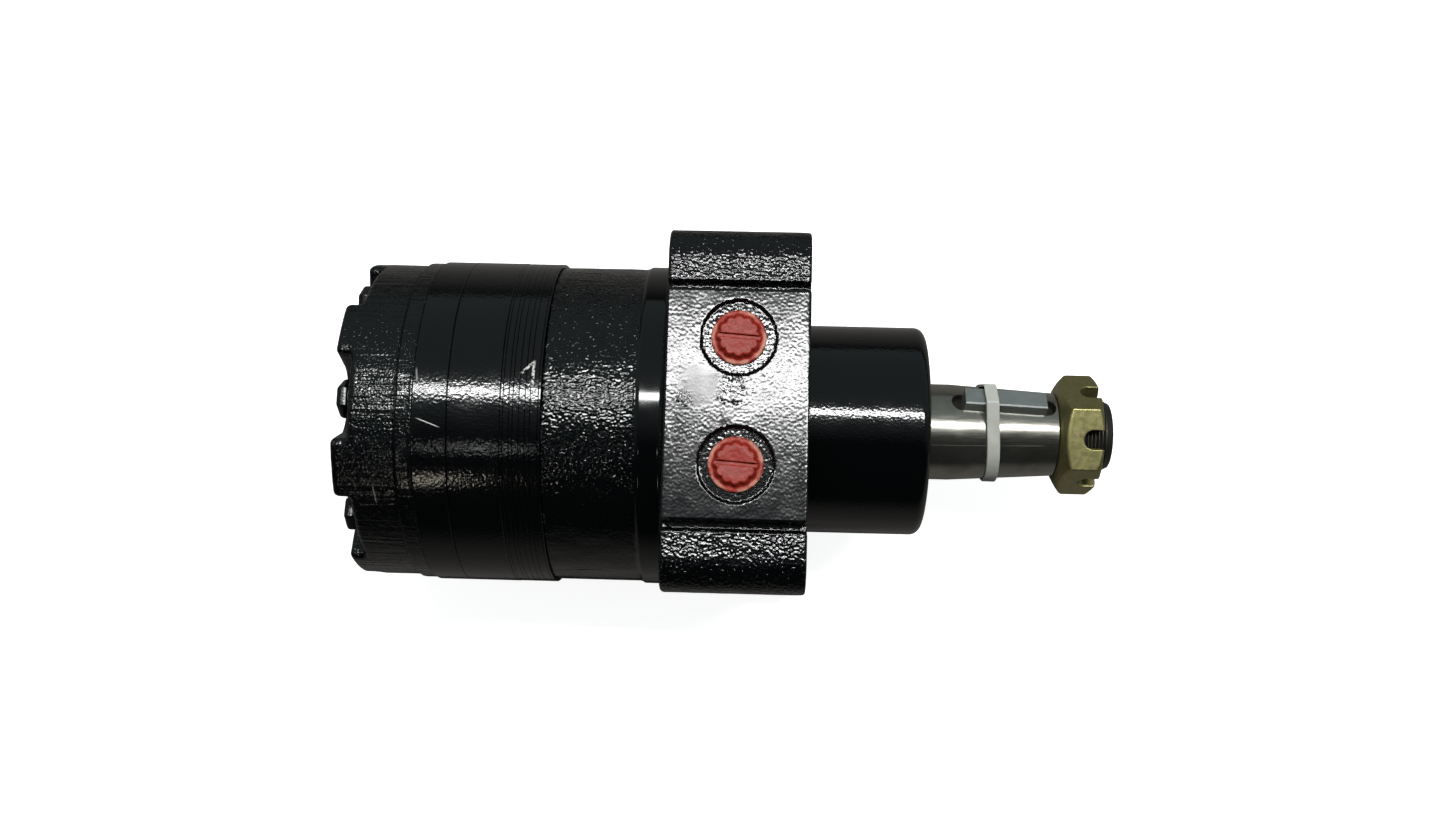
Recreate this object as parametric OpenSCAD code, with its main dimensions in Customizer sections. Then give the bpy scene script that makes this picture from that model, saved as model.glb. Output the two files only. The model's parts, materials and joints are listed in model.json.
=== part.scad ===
// Orbital hydraulic wheel motor: a cast housing with a square four-lug flange and
// a pilot nose, a tapered keyed shaft, a laminated manifold, a roller-stator
// rotor set and a cast end cover held by seven bolts.
// +X runs along the shaft towards its thread, +Z is the normal of the port face,
// and the origin is where the shaft axis meets the front face of the flange.

/* [Flange] */
// Diameter of the pilot nose
pilot_d = 82.55; // [80:0.05:84]
// Length of the pilot nose in front of the flange
pilot_len = 46.5; // [44:0.5:50]
// Thickness of the flange and port block
flange_t = 52; // [48:0.5:56]
// Bolt circle of the four lugs
lug_circle_d = 152.4; // [150:0.1:155]
// Diameter of the hole through each lug
lug_hole_d = 13.5; // [11:0.1:15]
// Corner radius of the two lugs beside the ports
lug_r = 12.6; // [11:0.1:14]
// Corner radius of the two lugs on the far side
far_lug_r = 10.5; // [10:0.1:13]
// How far the cast lug block sits off the shaft axis, away from port A
cast_shift = 1; // [0:0.1:1.5]
// Width of the raised port pad
pad_w = 83.6; // [80:0.1:86]
// Height of the port pad above the shaft axis
pad_z = 69; // [68:0.1:71]

/* [Ports] */
// Distance between the two port centres
port_spacing = 45.4; // [42:0.1:48]
// Distance of the ports behind the flange face
port_back = 25.7; // [22:0.1:28]
// Diameter of the round recess around each port
spotface_d = 27; // [25:0.1:29]
// Tapping diameter of each port
port_d = 17.5; // [16:0.1:18]

/* [Body] */
// Outside diameter of the stacked rings
body_d = 127; // [126:0.1:130]
// Outside diameter of the cast barrel
barrel_d = 124.6; // [123:0.1:125]
// Distance from the flange face to the rear face of the housing
housing_back = 96.3; // [94:0.1:98]
// Thickness of the rotor set
stator_t = 19.3; // [18:0.1:22]
// Thickness of the balance plate
balance_t = 12.7; // [11:0.1:14]
// Length of the end cover
cover_t = 30.3; // [28:0.1:34]
// Length of the lip at the front of the end cover
lip_t = 6.4; // [5:0.1:8]

/* [Rotor set] */
// Radius of the circle that the stator rollers stand on
roller_circle_r = 40; // [39.5:0.1:40.5]
// Radius of a stator roller
roller_r = 7; // [6.8:0.1:7.2]
// Distance of the rotor's centre from the shaft axis
orbit_r = 3; // [2.8:0.1:3.1]

/* [Cover bolts] */
// Bolt circle of the cover bolts
bolt_circle_d = 102; // [101:0.1:103]
// Diameter of a cover bolt
bolt_d = 7.94; // [7:0.01:8]
// Width across flats of a cover bolt's head
bolt_af = 12.7; // [12:0.1:13]
// Height of a cover bolt's head
bolt_head_h = 5.3; // [5:0.1:6.5]

/* [Shaft] */
// Diameter of the shaft where it leaves the nose
shaft_d = 38.1; // [37:0.1:38.2]
// Distance from the flange face to where the taper starts
taper_start = 57.5; // [50:0.5:60]
// Distance from the flange face to where the taper ends
taper_end = 98.5; // [97:0.5:99]
// Diameter of the shaft's thread
thread_d = 28.6; // [27:0.1:29]
// Distance from the flange face to the end of the shaft
shaft_end = 120.2; // [119:0.1:124]
// Side of the square key
key_w = 7.94; // [7.5:0.01:9.6]
// Length of the key
key_len = 31.75; // [28:0.05:33]
// Width across flats of the slotted nut
nut_af = 41.3; // [40:0.1:42]
// Height of the slotted nut
nut_h = 16.6; // [15:0.1:18]

/* [Hidden] */

round_fn = 96;
small_fn = 48;
eps = 0.01;
run_gap = 0.05;     // running clearance of turning pieces
seat_gap = 0.02;    // clearance of pieces that are pressed or laid in place
past = 5;           // how far a cutting tool runs past the piece it cuts

black = "#15171a";
steel = "#8f9296";
dark_steel = "#5c5f63";
rubber = "#1c1c1c";
red_plastic = "#c2402f";
zinc_gold = "#8b8145";
tie_white = "#e6e6e0";

// Angles about the shaft axis are measured from +Z towards +Y.
lobes = 6;
rollers = lobes + 1;
pitch_angle = 360 / rollers;
roller_angle = pitch_angle / 2;   // the first roller stands between two cover bolts
key_angle = 31.5;
nut_angle = -12.7;

// Stations along X
ring_chamfer = 0.35;
neck_len = 10;
neck_back = flange_t + neck_len;
manifold_steps = [0.9, 2.9, 1.8, 2.2, 2.2, 1.4, 2.2, 1.0];
function sum_to(list, n) = n == 0 ? 0 : list[n - 1] + sum_to(list, n - 1);
stator_front = -(housing_back + sum_to(manifold_steps, len(manifold_steps)));
balance_front = stator_front - stator_t;
cover_front = balance_front - balance_t;
cover_back = cover_front - cover_t;
pocket_depth = 6.1;
pocket_floor = cover_back + pocket_depth;

// Shaft, from its rear face forward
shaft_back = -88;
rear_journal_r = 27;
rear_journal_front = -58;
waist_r = 24;
collar_back = -24;
collar_front = -17;
collar_r = 33;
front_journal_r = 22.2;
front_journal_front = 26;
taper_per_mm = 1 / 16;            // on the radius: a 1 in 8 taper
taper_angle = atan(taper_per_mm);
shaft_r = shaft_d / 2;
taper_small_r = shaft_r - (taper_end - taper_start) * taper_per_mm;
thread_r = thread_d / 2;
thread_pitch = 1.411;
thread_depth = 0.8;
nut_back = 98.8;
nut_gap = 0.08;

// Bearings
bearing_roller_r = 2.5;
bearing_rollers = 18;
cage_t = 3;
front_bore_r = 30;
front_bore_back = -8;
front_bore_front = 24;
main_bore_r = 34.6;
front_bearing_back = -6;
front_bearing_len = 28;
rear_bearing_back = -86;
rear_bearing_len = 26;
front_roller_r = front_journal_r + bearing_roller_r + run_gap;
rear_roller_r = rear_journal_r + bearing_roller_r + run_gap;
thrust_gap = 4;                   // room for the rollers between the two thrust races
thrust_race_t = 2.5;
thrust_roller_r = thrust_gap / 2 - run_gap;
thrust_rollers_n = 16;
thrust_mid_r = 28.4;
thrust_roller_len = 7;

// Seals in the nose
seal_bore_r = 27;
seal_bore_back = 30;
neck_bore_r = 22.6;

// Splines of the drive link, the shaft and the rotor
spline_teeth = 12;
spline_root_r = 12.4;
spline_tip_r = 14.9;
spline_root_w = 3.6;
spline_taper = 0.4;               // how much narrower a tooth gets for each mm outwards
spline_gap = 0.45;                // flank clearance, which leaves room for the link's tilt
socket_minor_r = 13.4;
socket_major_r = 15.7;
spline_half = 6.5;
link_front_x = -62;
link_back_x = stator_front - stator_t / 2 + 1.5;
link_len = link_front_x - link_back_x;
link_tilt = asin(orbit_r / link_len);
link_shank_r = 10.4;
socket_front = -50;

// Lugs and ports
lug_at = lug_circle_d / 2 / sqrt(2);
lug_out = lug_at + lug_r;
far_lug_out = lug_at + far_lug_r;
port_y = port_spacing / 2;
spotface_depth = 1.2;
port_depth = 19;
gallery_r = 4;
gallery_circle_r = 50;

// O-rings between the stacked pieces, outside the bolt circle
seal_in_r = 57.4;
seal_w = 2.4;
seal_h = 1.8;

// Places its children on the plane at x, drawn as (Y, Z) and extruded along +X.
module on_x(x) {
    translate([x, 0, 0]) rotate([90, 0, 90]) children();
}

// Turns an outline of [radius, x] points about the shaft axis.
module turned(points, fn = round_fn) {
    on_x(0) rotate_extrude($fn = fn) polygon(points);
}

// A plain ring from back to front.
module ring(out_r, in_r, back, front, fn = round_fn) {
    turned([[in_r, back], [out_r, back], [out_r, front], [in_r, front]], fn);
}

// A ring with both outer edges broken.
module broken_ring(out_r, in_r, back, front, edge) {
    turned([
        [in_r, back], [out_r - edge, back], [out_r, back + edge],
        [out_r, front - edge], [out_r - edge, front], [in_r, front]
    ]);
}

// A rod along X at radius r and an angle about the shaft axis.
module rod_at(r, angle, rod_r, back, front, fn = small_fn) {
    on_x(back) translate([r * sin(angle), r * cos(angle), 0])
        cylinder(h = front - back, r = rod_r, $fn = fn);
}

module bolt_holes(back, front, hole_r = bolt_d / 2 + 0.25) {
    for (i = [0:rollers - 1])
        rod_at(bolt_circle_d / 2, i * pitch_angle, hole_r, back, front);
}

module seal_groove(back, front) {
    ring(seal_in_r + seal_w + seat_gap, seal_in_r - seat_gap, back, front);
}

function unit(v) = v / norm(v);
function signed_turn(a) = a > 180 ? a - 360 : a < -180 ? a + 360 : a;

// The arc that rounds corner b of the outline a, b, c.
function corner_arc(a, b, c, r, steps = 6) =
    let (
        u = unit(a - b),
        v = unit(c - b),
        half = acos(u * v) / 2,
        centre = b + unit(u + v) * r / sin(half),
        p = b + u * r / tan(half) - centre,
        q = b + v * r / tan(half) - centre,
        start = atan2(p[1], p[0]),
        turn = signed_turn(atan2(q[1], q[0]) - start)
    )
    [for (i = [0:steps]) centre + r * [cos(start + turn * i / steps), sin(start + turn * i / steps)]];

// An outline of [x, y, corner radius] points as plain points.
function rounded(points) =
    let (n = len(points))
    [for (i = [0:n - 1])
        let (
            a = points[(i + n - 1) % n],
            b = points[i],
            c = points[(i + 1) % n]
        )
        each b[2] == 0
            ? [[b[0], b[1]]]
            : corner_arc([a[0], a[1]], [b[0], b[1]], [c[0], c[1]], b[2])];

function mirrored(points) = [for (i = [len(points) - 1:-1:0]) [-points[i][0], points[i][1], points[i][2]]];

// Housing ---------------------------------------------------------------

groove_in = pad_w / 2;
groove_out = groove_in + 2.7;
groove_z = 62.5;
side_flat = 60;
side_step = 44.5;
side_run = 7;

function flange_half() = [
    [0, -side_flat, 0],
    [side_step - side_run, -side_flat, 4],
    [side_step, -far_lug_out, 4],
    [far_lug_out, -far_lug_out, far_lug_r],
    [far_lug_out, -side_step, 4],
    [side_flat, -(side_step - side_run), 4],
    [side_flat, side_step - side_run, 4],
    [lug_out, side_step, 4],
    [lug_out, lug_out, lug_r],
    [groove_out, lug_out, 1.5],
    [groove_out, groove_z, 1],
    [groove_in, groove_z, 1],
    [groove_in, pad_z, 0.8],
    [0, pad_z, 0]
];

module flange_block() {
    half = flange_half();
    tail = [for (p = mirrored(half)) if (p[0] != 0) p];
    translate([0, -cast_shift, 0]) on_x(-flange_t)
        linear_extrude(flange_t) polygon(rounded(concat(half, tail)));
}

module housing_outside() {
    nose_edge = 4;
    pilot_r = pilot_d / 2;
    barrel_r = barrel_d / 2;
    neck_r = body_d / 2 - 0.4;
    flare = 1.3;
    turned(rounded([
        [0, -housing_back, 0],
        [barrel_r - 0.4, -housing_back, 0],
        [barrel_r, -housing_back + 0.4, 0],
        [barrel_r, -neck_back - 0.8, 0],
        [neck_r, -neck_back, 0],
        [neck_r, -flange_t - 3, 3],
        [neck_r + flare, -flange_t, 0],
        [neck_r + flare, -1, 0],
        [pilot_r, -1, 0],
        [pilot_r, pilot_len, nose_edge],
        [0, pilot_len, 0]
    ]));
    flange_block();
}

module port_cut(side) {
    cone_h = 2.5;
    floor_z = pad_z - spotface_depth;
    feed_r = 5.5;
    gallery_z = gallery_circle_r * cos(roller_angle);
    gallery_y = side * gallery_circle_r * sin(roller_angle);
    translate([-port_back, side * port_y, 0]) {
        translate([0, 0, floor_z]) cylinder(h = spotface_depth + past, d = spotface_d, $fn = round_fn);
        translate([0, 0, floor_z - cone_h])
            cylinder(h = cone_h + eps, r1 = port_d / 2, r2 = port_d / 2 + 1.5, $fn = round_fn);
        translate([0, 0, floor_z - port_depth]) cylinder(h = port_depth, d = port_d, $fn = round_fn);
        translate([0, 0, gallery_z])
            cylinder(h = floor_z - port_depth - gallery_z + 1, r = feed_r, $fn = small_fn);
    }
    on_x(-housing_back - past) translate([gallery_y, gallery_z, 0])
        cylinder(h = housing_back - port_back + past, r = gallery_r, $fn = small_fn);
}

module housing() {
    bolt_tap_r = bolt_d / 2 + seat_gap;
    bolt_reach = 22;
    color(black) difference() {
        housing_outside();
        turned([
            [0, -housing_back - past], [main_bore_r, -housing_back - past],
            [main_bore_r, front_bore_back], [front_bore_r, front_bore_back],
            [front_bore_r, front_bore_front], [neck_bore_r, front_bore_front],
            [neck_bore_r, seal_bore_back], [seal_bore_r, seal_bore_back],
            [seal_bore_r, pilot_len - 1], [seal_bore_r + 1, pilot_len],
            [seal_bore_r + 1, pilot_len + past], [0, pilot_len + past]
        ]);
        for (y = [-lug_at, lug_at]) for (z = [-lug_at, lug_at])
            on_x(-flange_t - past) translate([y, z, 0])
                cylinder(h = flange_t + 2 * past, d = lug_hole_d, $fn = small_fn);
        port_cut(1);
        port_cut(-1);
        bolt_holes(-housing_back - past, -housing_back + bolt_reach, bolt_tap_r);
        seal_groove(-housing_back - past, -housing_back + seal_h);
    }
}

// Nose seals ------------------------------------------------------------

module dust_seal() {
    out_r = seal_bore_r - seat_gap;
    lip_r = shaft_r + run_gap;
    color(rubber) turned([
        [lip_r, 44.6], [lip_r + 0.6, 43.2], [lip_r + 2.2, 42.6], [lip_r + 2.2, 41.2],
        [out_r, 41.2], [out_r, 45.4], [out_r - 1.2, 45.8], [lip_r + 3.2, 45.8],
        [lip_r + 2.4, 44.8], [lip_r + 0.7, 46], [lip_r, 45.6]
    ]);
}

module seal_washer() {
    color(steel) ring(seal_bore_r - seat_gap, shaft_r + 0.4, 39.6, 41.1);
}

module shaft_seal() {
    out_r = seal_bore_r - seat_gap;
    lip_r = shaft_r + run_gap;
    color(rubber) turned([
        [lip_r, 33.4], [lip_r + 0.8, 31.9], [lip_r + 2.4, 31.9], [lip_r + 3.4, 34.6],
        [out_r - 2.6, 34.6], [out_r - 2.6, 31.2], [out_r, 31.2], [out_r, 39.5],
        [lip_r + 0.6, 39.5], [lip_r + 0.6, 37.2], [lip_r + 1.8, 35.8], [lip_r, 34.4]
    ]);
}

// Bearings --------------------------------------------------------------

// A drawn cup with a lip turned in at each end.
module bearing_shell(in_r, out_r, back, length) {
    lip_t = 0.8;
    lip_r = in_r - 0.9;
    color(steel) turned([
        [lip_r, back], [out_r, back], [out_r, back + length], [lip_r, back + length],
        [lip_r, back + length - lip_t], [in_r, back + length - lip_t], [in_r, back + lip_t],
        [lip_r, back + lip_t]
    ]);
}

module roller_set(circle_r, back, length) {
    end_gap = 3;
    color(steel) for (i = [0:bearing_rollers - 1])
        rod_at(circle_r, i * 360 / bearing_rollers, bearing_roller_r,
            back + end_gap, back + length - end_gap);
}

module roller_cage(circle_r, back, length) {
    end_gap = 3 - run_gap;
    color(dark_steel) difference() {
        ring(circle_r + cage_t / 2, circle_r - cage_t / 2, back + 1, back + length - 1);
        for (i = [0:bearing_rollers - 1])
            rod_at(circle_r, i * 360 / bearing_rollers, bearing_roller_r + run_gap,
                back + end_gap, back + length - end_gap);
    }
}

module front_bearing_shell() {
    in_r = front_roller_r + bearing_roller_r + run_gap;
    bearing_shell(in_r, front_bore_r - seat_gap, front_bearing_back, front_bearing_len);
}

module front_bearing_cage() {
    roller_cage(front_roller_r, front_bearing_back, front_bearing_len);
}

module front_bearing_rollers() {
    roller_set(front_roller_r, front_bearing_back, front_bearing_len);
}

module rear_bearing_shell() {
    in_r = rear_roller_r + bearing_roller_r + run_gap;
    bearing_shell(in_r, main_bore_r - seat_gap, rear_bearing_back, rear_bearing_len);
}

module rear_bearing_cage() {
    roller_cage(rear_roller_r, rear_bearing_back, rear_bearing_len);
}

module rear_bearing_rollers() {
    roller_set(rear_roller_r, rear_bearing_back, rear_bearing_len);
}

module thrust_race() {
    color(steel) ring(main_bore_r - 0.2, 23.2, front_bore_back - thrust_race_t, front_bore_back - eps);
}

module thrust_washer() {
    color(steel) ring(collar_r, front_journal_r + seat_gap, collar_front, collar_front + thrust_race_t);
}

module thrust_roller_rods(extra) {
    mid_x = collar_front + thrust_race_t + thrust_gap / 2;
    for (i = [0:thrust_rollers_n - 1])
        translate([mid_x, 0, 0]) rotate([i * 360 / thrust_rollers_n, 0, 0])
            translate([0, 0, thrust_mid_r - thrust_roller_len / 2 - extra])
                cylinder(h = thrust_roller_len + 2 * extra, r = thrust_roller_r + extra, $fn = small_fn);
}

module thrust_rollers() {
    color(steel) thrust_roller_rods(0);
}

module thrust_cage() {
    mid_x = collar_front + thrust_race_t + thrust_gap / 2;
    half_t = 1.1;
    color(dark_steel) difference() {
        ring(main_bore_r - 0.6, 22.9, mid_x - half_t, mid_x + half_t);
        thrust_roller_rods(run_gap);
    }
}

// Shaft -----------------------------------------------------------------

function tooth_w(r) = spline_root_w - spline_taper * (r - spline_root_r);

// Twelve teeth from radius in_r to out_r, each wider than a link tooth by extra on both flanks.
module spline_teeth_2d(in_r, out_r, extra) {
    in_w = tooth_w(in_r) / 2 + extra;
    out_w = tooth_w(out_r) / 2 + extra;
    for (i = [0:spline_teeth - 1])
        rotate(i * 360 / spline_teeth)
            polygon([[in_r - 1, -in_w], [out_r, -out_w], [out_r, out_w], [in_r - 1, in_w]]);
}

module spline_socket_2d() {
    circle(r = socket_minor_r, $fn = round_fn);
    spline_teeth_2d(socket_minor_r, socket_major_r, spline_gap);
}

// The thread's outline, from its root at the nut side to its chamfered end.
function thread_points() =
    let (
        start = taper_end + 1.2,
        turns = floor((shaft_end - 1.4 - start) / thread_pitch)
    )
    [for (i = [0:turns - 1]) each [
        [thread_r - thread_depth, start + i * thread_pitch],
        [thread_r, start + (i + 0.42) * thread_pitch],
        [thread_r, start + (i + 0.58) * thread_pitch]
    ]];

module shaft_body() {
    turned(concat(
        [
            [0, shaft_back], [rear_journal_r - 1, shaft_back], [rear_journal_r, shaft_back + 1],
            [rear_journal_r, rear_journal_front], [waist_r, rear_journal_front],
            [waist_r, collar_back], [collar_r, collar_back], [collar_r, collar_front],
            [front_journal_r, collar_front], [front_journal_r, front_journal_front - 1],
            [shaft_r, front_journal_front + 1], [shaft_r, taper_start],
            [taper_small_r, taper_end], [thread_r - thread_depth, taper_end]
        ],
        thread_points(),
        [
            [thread_r - thread_depth, shaft_end - 1.2], [thread_r - 1.4, shaft_end], [0, shaft_end]
        ]
    ));
}

// Frame of the keyway: X runs along the taper, Z points out of the shaft.
keyway_mid = 77.4;
keyway_len = 41;
key_mid = 77.35;
key_rise = 4.3;

module on_key() {
    mid_r = shaft_r - (keyway_mid - taper_start) * taper_per_mm;
    rotate([-key_angle, 0, 0]) translate([keyway_mid, 0, mid_r]) rotate([0, taper_angle, 0]) children();
}

module keyway_cut() {
    depth = key_w - key_rise + seat_gap;
    half = keyway_len / 2 - key_w / 2;
    width = key_w + 2 * seat_gap;
    on_key() translate([0, 0, -depth]) {
        translate([-half, -width / 2, 0]) cube([2 * half, width, depth + past]);
        for (x = [-half, half]) translate([x, 0, 0]) cylinder(h = depth + past, d = width, $fn = small_fn);
    }
}

cotter_x = 112.5;
cotter_r = 2.4;

module output_shaft() {
    color(steel) difference() {
        shaft_body();
        on_x(shaft_back - past) rotate(90 - roller_angle)
            linear_extrude(socket_front - shaft_back + past) spline_socket_2d();
        keyway_cut();
        rotate([-nut_angle - 60, 0, 0]) translate([cotter_x, 0, -past * 4])
            cylinder(h = past * 8, r = cotter_r, $fn = small_fn);
        on_x(shaft_end - 5) cylinder(h = 5 + eps, r1 = 0.4, r2 = 3.4, $fn = small_fn);
    }
}

module shaft_key() {
    edge = 0.5;
    half = key_w / 2;
    color(steel) on_key() translate([key_mid - keyway_mid - key_len / 2, 0, key_rise - half])
        rotate([90, 0, 90]) linear_extrude(key_len) polygon([
            [-half + edge, -half], [half - edge, -half], [half, -half + edge], [half, half - edge],
            [half - edge, half], [-half + edge, half], [-half, half - edge], [-half, -half + edge]
        ]);
}

// Tie that holds the key: a flat band round the shaft and over the key.
tie_back = 70.2;
tie_w = 4.9;
tie_t = 1.1;

module tie_outline(grow) {
    loop_r = shaft_r - (tie_back - taper_start) * taper_per_mm + seat_gap;
    key_top = loop_r + key_rise + 0.9;
    hull() {
        circle(r = loop_r + grow, $fn = 64);
        for (x = [-key_w / 2, key_w / 2]) translate([x, key_top]) circle(r = 0.05 + grow, $fn = 24);
    }
}

module key_tie() {
    head = [7.4, 6.4, 4.6];
    head_angle = 200;
    head_r = 18.4;
    color(tie_white) {
        rotate([-key_angle, 0, 0]) on_x(tie_back) linear_extrude(tie_w) difference() {
            tie_outline(tie_t);
            tie_outline(0);
        }
        rotate([-head_angle, 0, 0]) translate([tie_back + tie_w / 2 - head[0] / 2, -head[1] / 2, head_r])
            cube(head);
    }
}

module slotted_nut() {
    slot_w = 7.4;
    slot_depth = 8.1;
    corner_r = nut_af / sqrt(3);
    outer = corner_r + 0.1;
    seat_r = 17;
    back_chamfer = 0.55 * (outer - seat_r);
    front_chamfer = 0.61 * (outer - nut_af / 2);
    front = nut_back + nut_h;
    color(zinc_gold) difference() {
        intersection() {
            on_x(nut_back) rotate(-nut_angle) cylinder(h = nut_h, r = corner_r, $fn = 6);
            turned([
                [0, nut_back], [seat_r, nut_back], [outer, nut_back + back_chamfer],
                [outer, front - front_chamfer], [nut_af / 2, front], [0, front]
            ]);
        }
        ring(thread_r + nut_gap, 0, nut_back - past, front + past);
        turned([[0, front - 1], [thread_r + nut_gap, front - 1], [thread_r + 1.4, front + eps],
            [thread_r + 1.4, front + past], [0, front + past]]);
        for (i = [0:5]) rotate([-nut_angle - i * 60, 0, 0]) {
            translate([front - slot_depth + slot_w / 2, -slot_w / 2, 0]) cube([slot_depth, slot_w, corner_r]);
            translate([front - slot_depth + slot_w / 2, 0, 0])
                cylinder(h = corner_r, d = slot_w, $fn = small_fn);
        }
    }
}

// Drive link, spacer and rotor set ---------------------------------------

// Puts its children on the eccentric centre, in the plane at x, with local X along the eccentricity.
module on_orbit(x) {
    on_x(x) rotate(90 - roller_angle) translate([orbit_r, 0, 0]) children();
}

module spline_head(mid) {
    crown = 1.2;
    intersection() {
        on_x(mid - spline_half) linear_extrude(2 * spline_half) union() {
            circle(r = spline_root_r, $fn = round_fn);
            spline_teeth_2d(spline_root_r, spline_tip_r, 0);
        }
        turned([
            [0, mid - spline_half], [spline_tip_r - crown, mid - spline_half],
            [spline_tip_r, mid - spline_half / 3], [spline_tip_r, mid + spline_half / 3],
            [spline_tip_r - crown, mid + spline_half], [0, mid + spline_half]
        ]);
    }
}

// The link leans from the middle of the shaft's socket to the middle of the rotor's.
module on_link() {
    translate([link_front_x, 0, 0]) rotate([-roller_angle, 0, 0]) rotate([0, link_tilt, 0]) children();
}

module drive_link() {
    shank_end = spline_half - 1;
    root_r = link_shank_r + 1.6;
    blend = 6;
    front_nose = spline_half + 4;
    rear_nose = spline_half + 0.8;
    color(dark_steel) on_link() {
        spline_head(0);
        spline_head(-link_len);
        turned([
            [0, -link_len - rear_nose], [4, -link_len - rear_nose], [6, -link_len - spline_half + eps],
            [root_r, -link_len + shank_end], [link_shank_r, -link_len + shank_end + blend],
            [link_shank_r, -shank_end - blend], [root_r, -shank_end], [link_shank_r, 0],
            [link_shank_r, front_nose - 1], [link_shank_r - 1, front_nose], [0, front_nose]
        ]);
    }
}

module link_spacer() {
    spacer_t = 3.65;
    spacer_r = 12.2;
    color(dark_steel) on_orbit(balance_front + run_gap)
        cylinder(h = spacer_t, r = spacer_r, $fn = round_fn);
}

// Path of a roller's centre seen from the rotor, moved inwards by the roller's radius and a clearance.
rotor_gap = 0.06;
rotor_steps = 30;
function rotor_point(t) =
    let (
        p = roller_circle_r * [cos(t), sin(t)] - orbit_r * [cos(rollers * t), sin(rollers * t)],
        along = roller_circle_r * [-sin(t), cos(t)]
            - rollers * orbit_r * [-sin(rollers * t), cos(rollers * t)],
        out = unit([along[1], -along[0]])
    )
    p - (roller_r + rotor_gap) * out;

module rotor() {
    count = lobes * rotor_steps;
    port_r = 22.5;
    port_hole_r = 2.6;
    groove_depth = 1.5;
    color(steel) difference() {
        on_orbit(balance_front + run_gap) linear_extrude(stator_t - 2 * run_gap) difference() {
            polygon([for (i = [0:count - 1]) rotor_point(i * 360 / count)]);
            spline_socket_2d();
            for (i = [0:2 * lobes - 1]) rotate(i * 180 / lobes + 90 / lobes)
                translate([port_r, 0]) circle(r = port_hole_r, $fn = 32);
        }
        on_orbit(stator_front - groove_depth) difference() {
            cylinder(h = groove_depth + past, r = 19.2, $fn = round_fn);
            translate([0, 0, -past]) cylinder(h = groove_depth + 3 * past, r = 17.4, $fn = round_fn);
        }
    }
}

module stator_ring() {
    bore_r = 39.4;
    color(black) difference() {
        broken_ring(body_d / 2, bore_r, balance_front, stator_front, ring_chamfer);
        for (i = [0:rollers - 1])
            rod_at(roller_circle_r, roller_angle + i * pitch_angle, roller_r + 0.03,
                balance_front - past, stator_front + past, round_fn);
        bolt_holes(balance_front - past, stator_front + past);
        seal_groove(stator_front - seal_h, stator_front + past);
        seal_groove(balance_front - past, balance_front + seal_h);
    }
}

module stator_roller(n) {
    color(steel) rod_at(roller_circle_r, roller_angle + (n - 1) * pitch_angle, roller_r,
        balance_front + run_gap, stator_front - run_gap, round_fn);
}

module stator_roller_1() { stator_roller(1); }
module stator_roller_2() { stator_roller(2); }
module stator_roller_3() { stator_roller(3); }
module stator_roller_4() { stator_roller(4); }
module stator_roller_5() { stator_roller(5); }
module stator_roller_6() { stator_roller(6); }
module stator_roller_7() { stator_roller(7); }

// Manifold: eight stamped plates, numbered from the housing to the rotor.

link_hole_r = 17;
plate_edge = 0.18;

module oil_holes(n, back, front) {
    feed_plates = 3;
    window_r = 2.6;
    if (n <= feed_plates)
        for (a = [-roller_angle, roller_angle]) rod_at(gallery_circle_r, a, gallery_r, back, front);
    else
        for (i = [0:rollers - 1]) {
            rod_at(22.5, i * pitch_angle, window_r, back, front);
            rod_at(34.5 + (n - feed_plates) * 0.5, roller_angle + i * pitch_angle, window_r, back, front);
        }
}

module manifold_plate(n) {
    front = -(housing_back + sum_to(manifold_steps, n - 1));
    back = front - manifold_steps[n - 1];
    plate_r = body_d / 2 - 0.1;
    color(black) difference() {
        broken_ring(plate_r, link_hole_r, back, front, plate_edge);
        bolt_holes(back - past, front + past);
        oil_holes(n, back - past, front + past);
    }
}

module manifold_plate_1() { manifold_plate(1); }
module manifold_plate_2() { manifold_plate(2); }
module manifold_plate_3() { manifold_plate(3); }
module manifold_plate_4() { manifold_plate(4); }
module manifold_plate_5() { manifold_plate(5); }
module manifold_plate_6() { manifold_plate(6); }
module manifold_plate_7() { manifold_plate(7); }
module manifold_plate_8() { manifold_plate(8); }

module balance_plate() {
    bleed_r = 3;
    color(black) difference() {
        broken_ring(body_d / 2, bleed_r, cover_front, balance_front, ring_chamfer);
        bolt_holes(cover_front - past, balance_front + past);
    }
}

// End cover and its bolts -------------------------------------------------

// Plan of one bolt pocket, drawn for the bolt at +Z.
function pocket_outline() = rounded([
    [-10.4, 42.3, 4.5], [10.4, 42.3, 4.5], [12.4, 47.5, 0], [16, 58, 0], [24, 70, 0],
    [-24, 70, 0], [-16, 58, 0], [-12.4, 47.5, 0]
]);

module end_cover() {
    cover_r = 62;
    lip_r = 63;
    rear_edge = 2.5;
    relief_r = 30;
    relief_t = 1.2;
    boss_r = 24;
    color(black) difference() {
        turned(rounded([
            [0, cover_back, 0],
            [cover_r, cover_back, rear_edge],
            [cover_r, cover_front - lip_t - 0.4, 0],
            [lip_r - 0.6, cover_front - lip_t, 0],
            [lip_r, cover_front - lip_t + 1.2, 0],
            [lip_r, cover_front - 0.5, 0],
            [lip_r - 0.5, cover_front, 0],
            [relief_r, cover_front, 0],
            [relief_r, cover_front - relief_t, 0],
            [0, cover_front - relief_t, 0]
        ]));
        for (i = [0:rollers - 1]) rotate([-i * pitch_angle, 0, 0])
            on_x(cover_back - past) linear_extrude(pocket_depth + past) polygon(pocket_outline());
        bolt_holes(cover_back - past, cover_front + past);
        seal_groove(cover_front - seal_h, cover_front + past);
        on_x(cover_back - past) cylinder(h = past + 1.2, r = boss_r, $fn = round_fn);
    }
}

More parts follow.
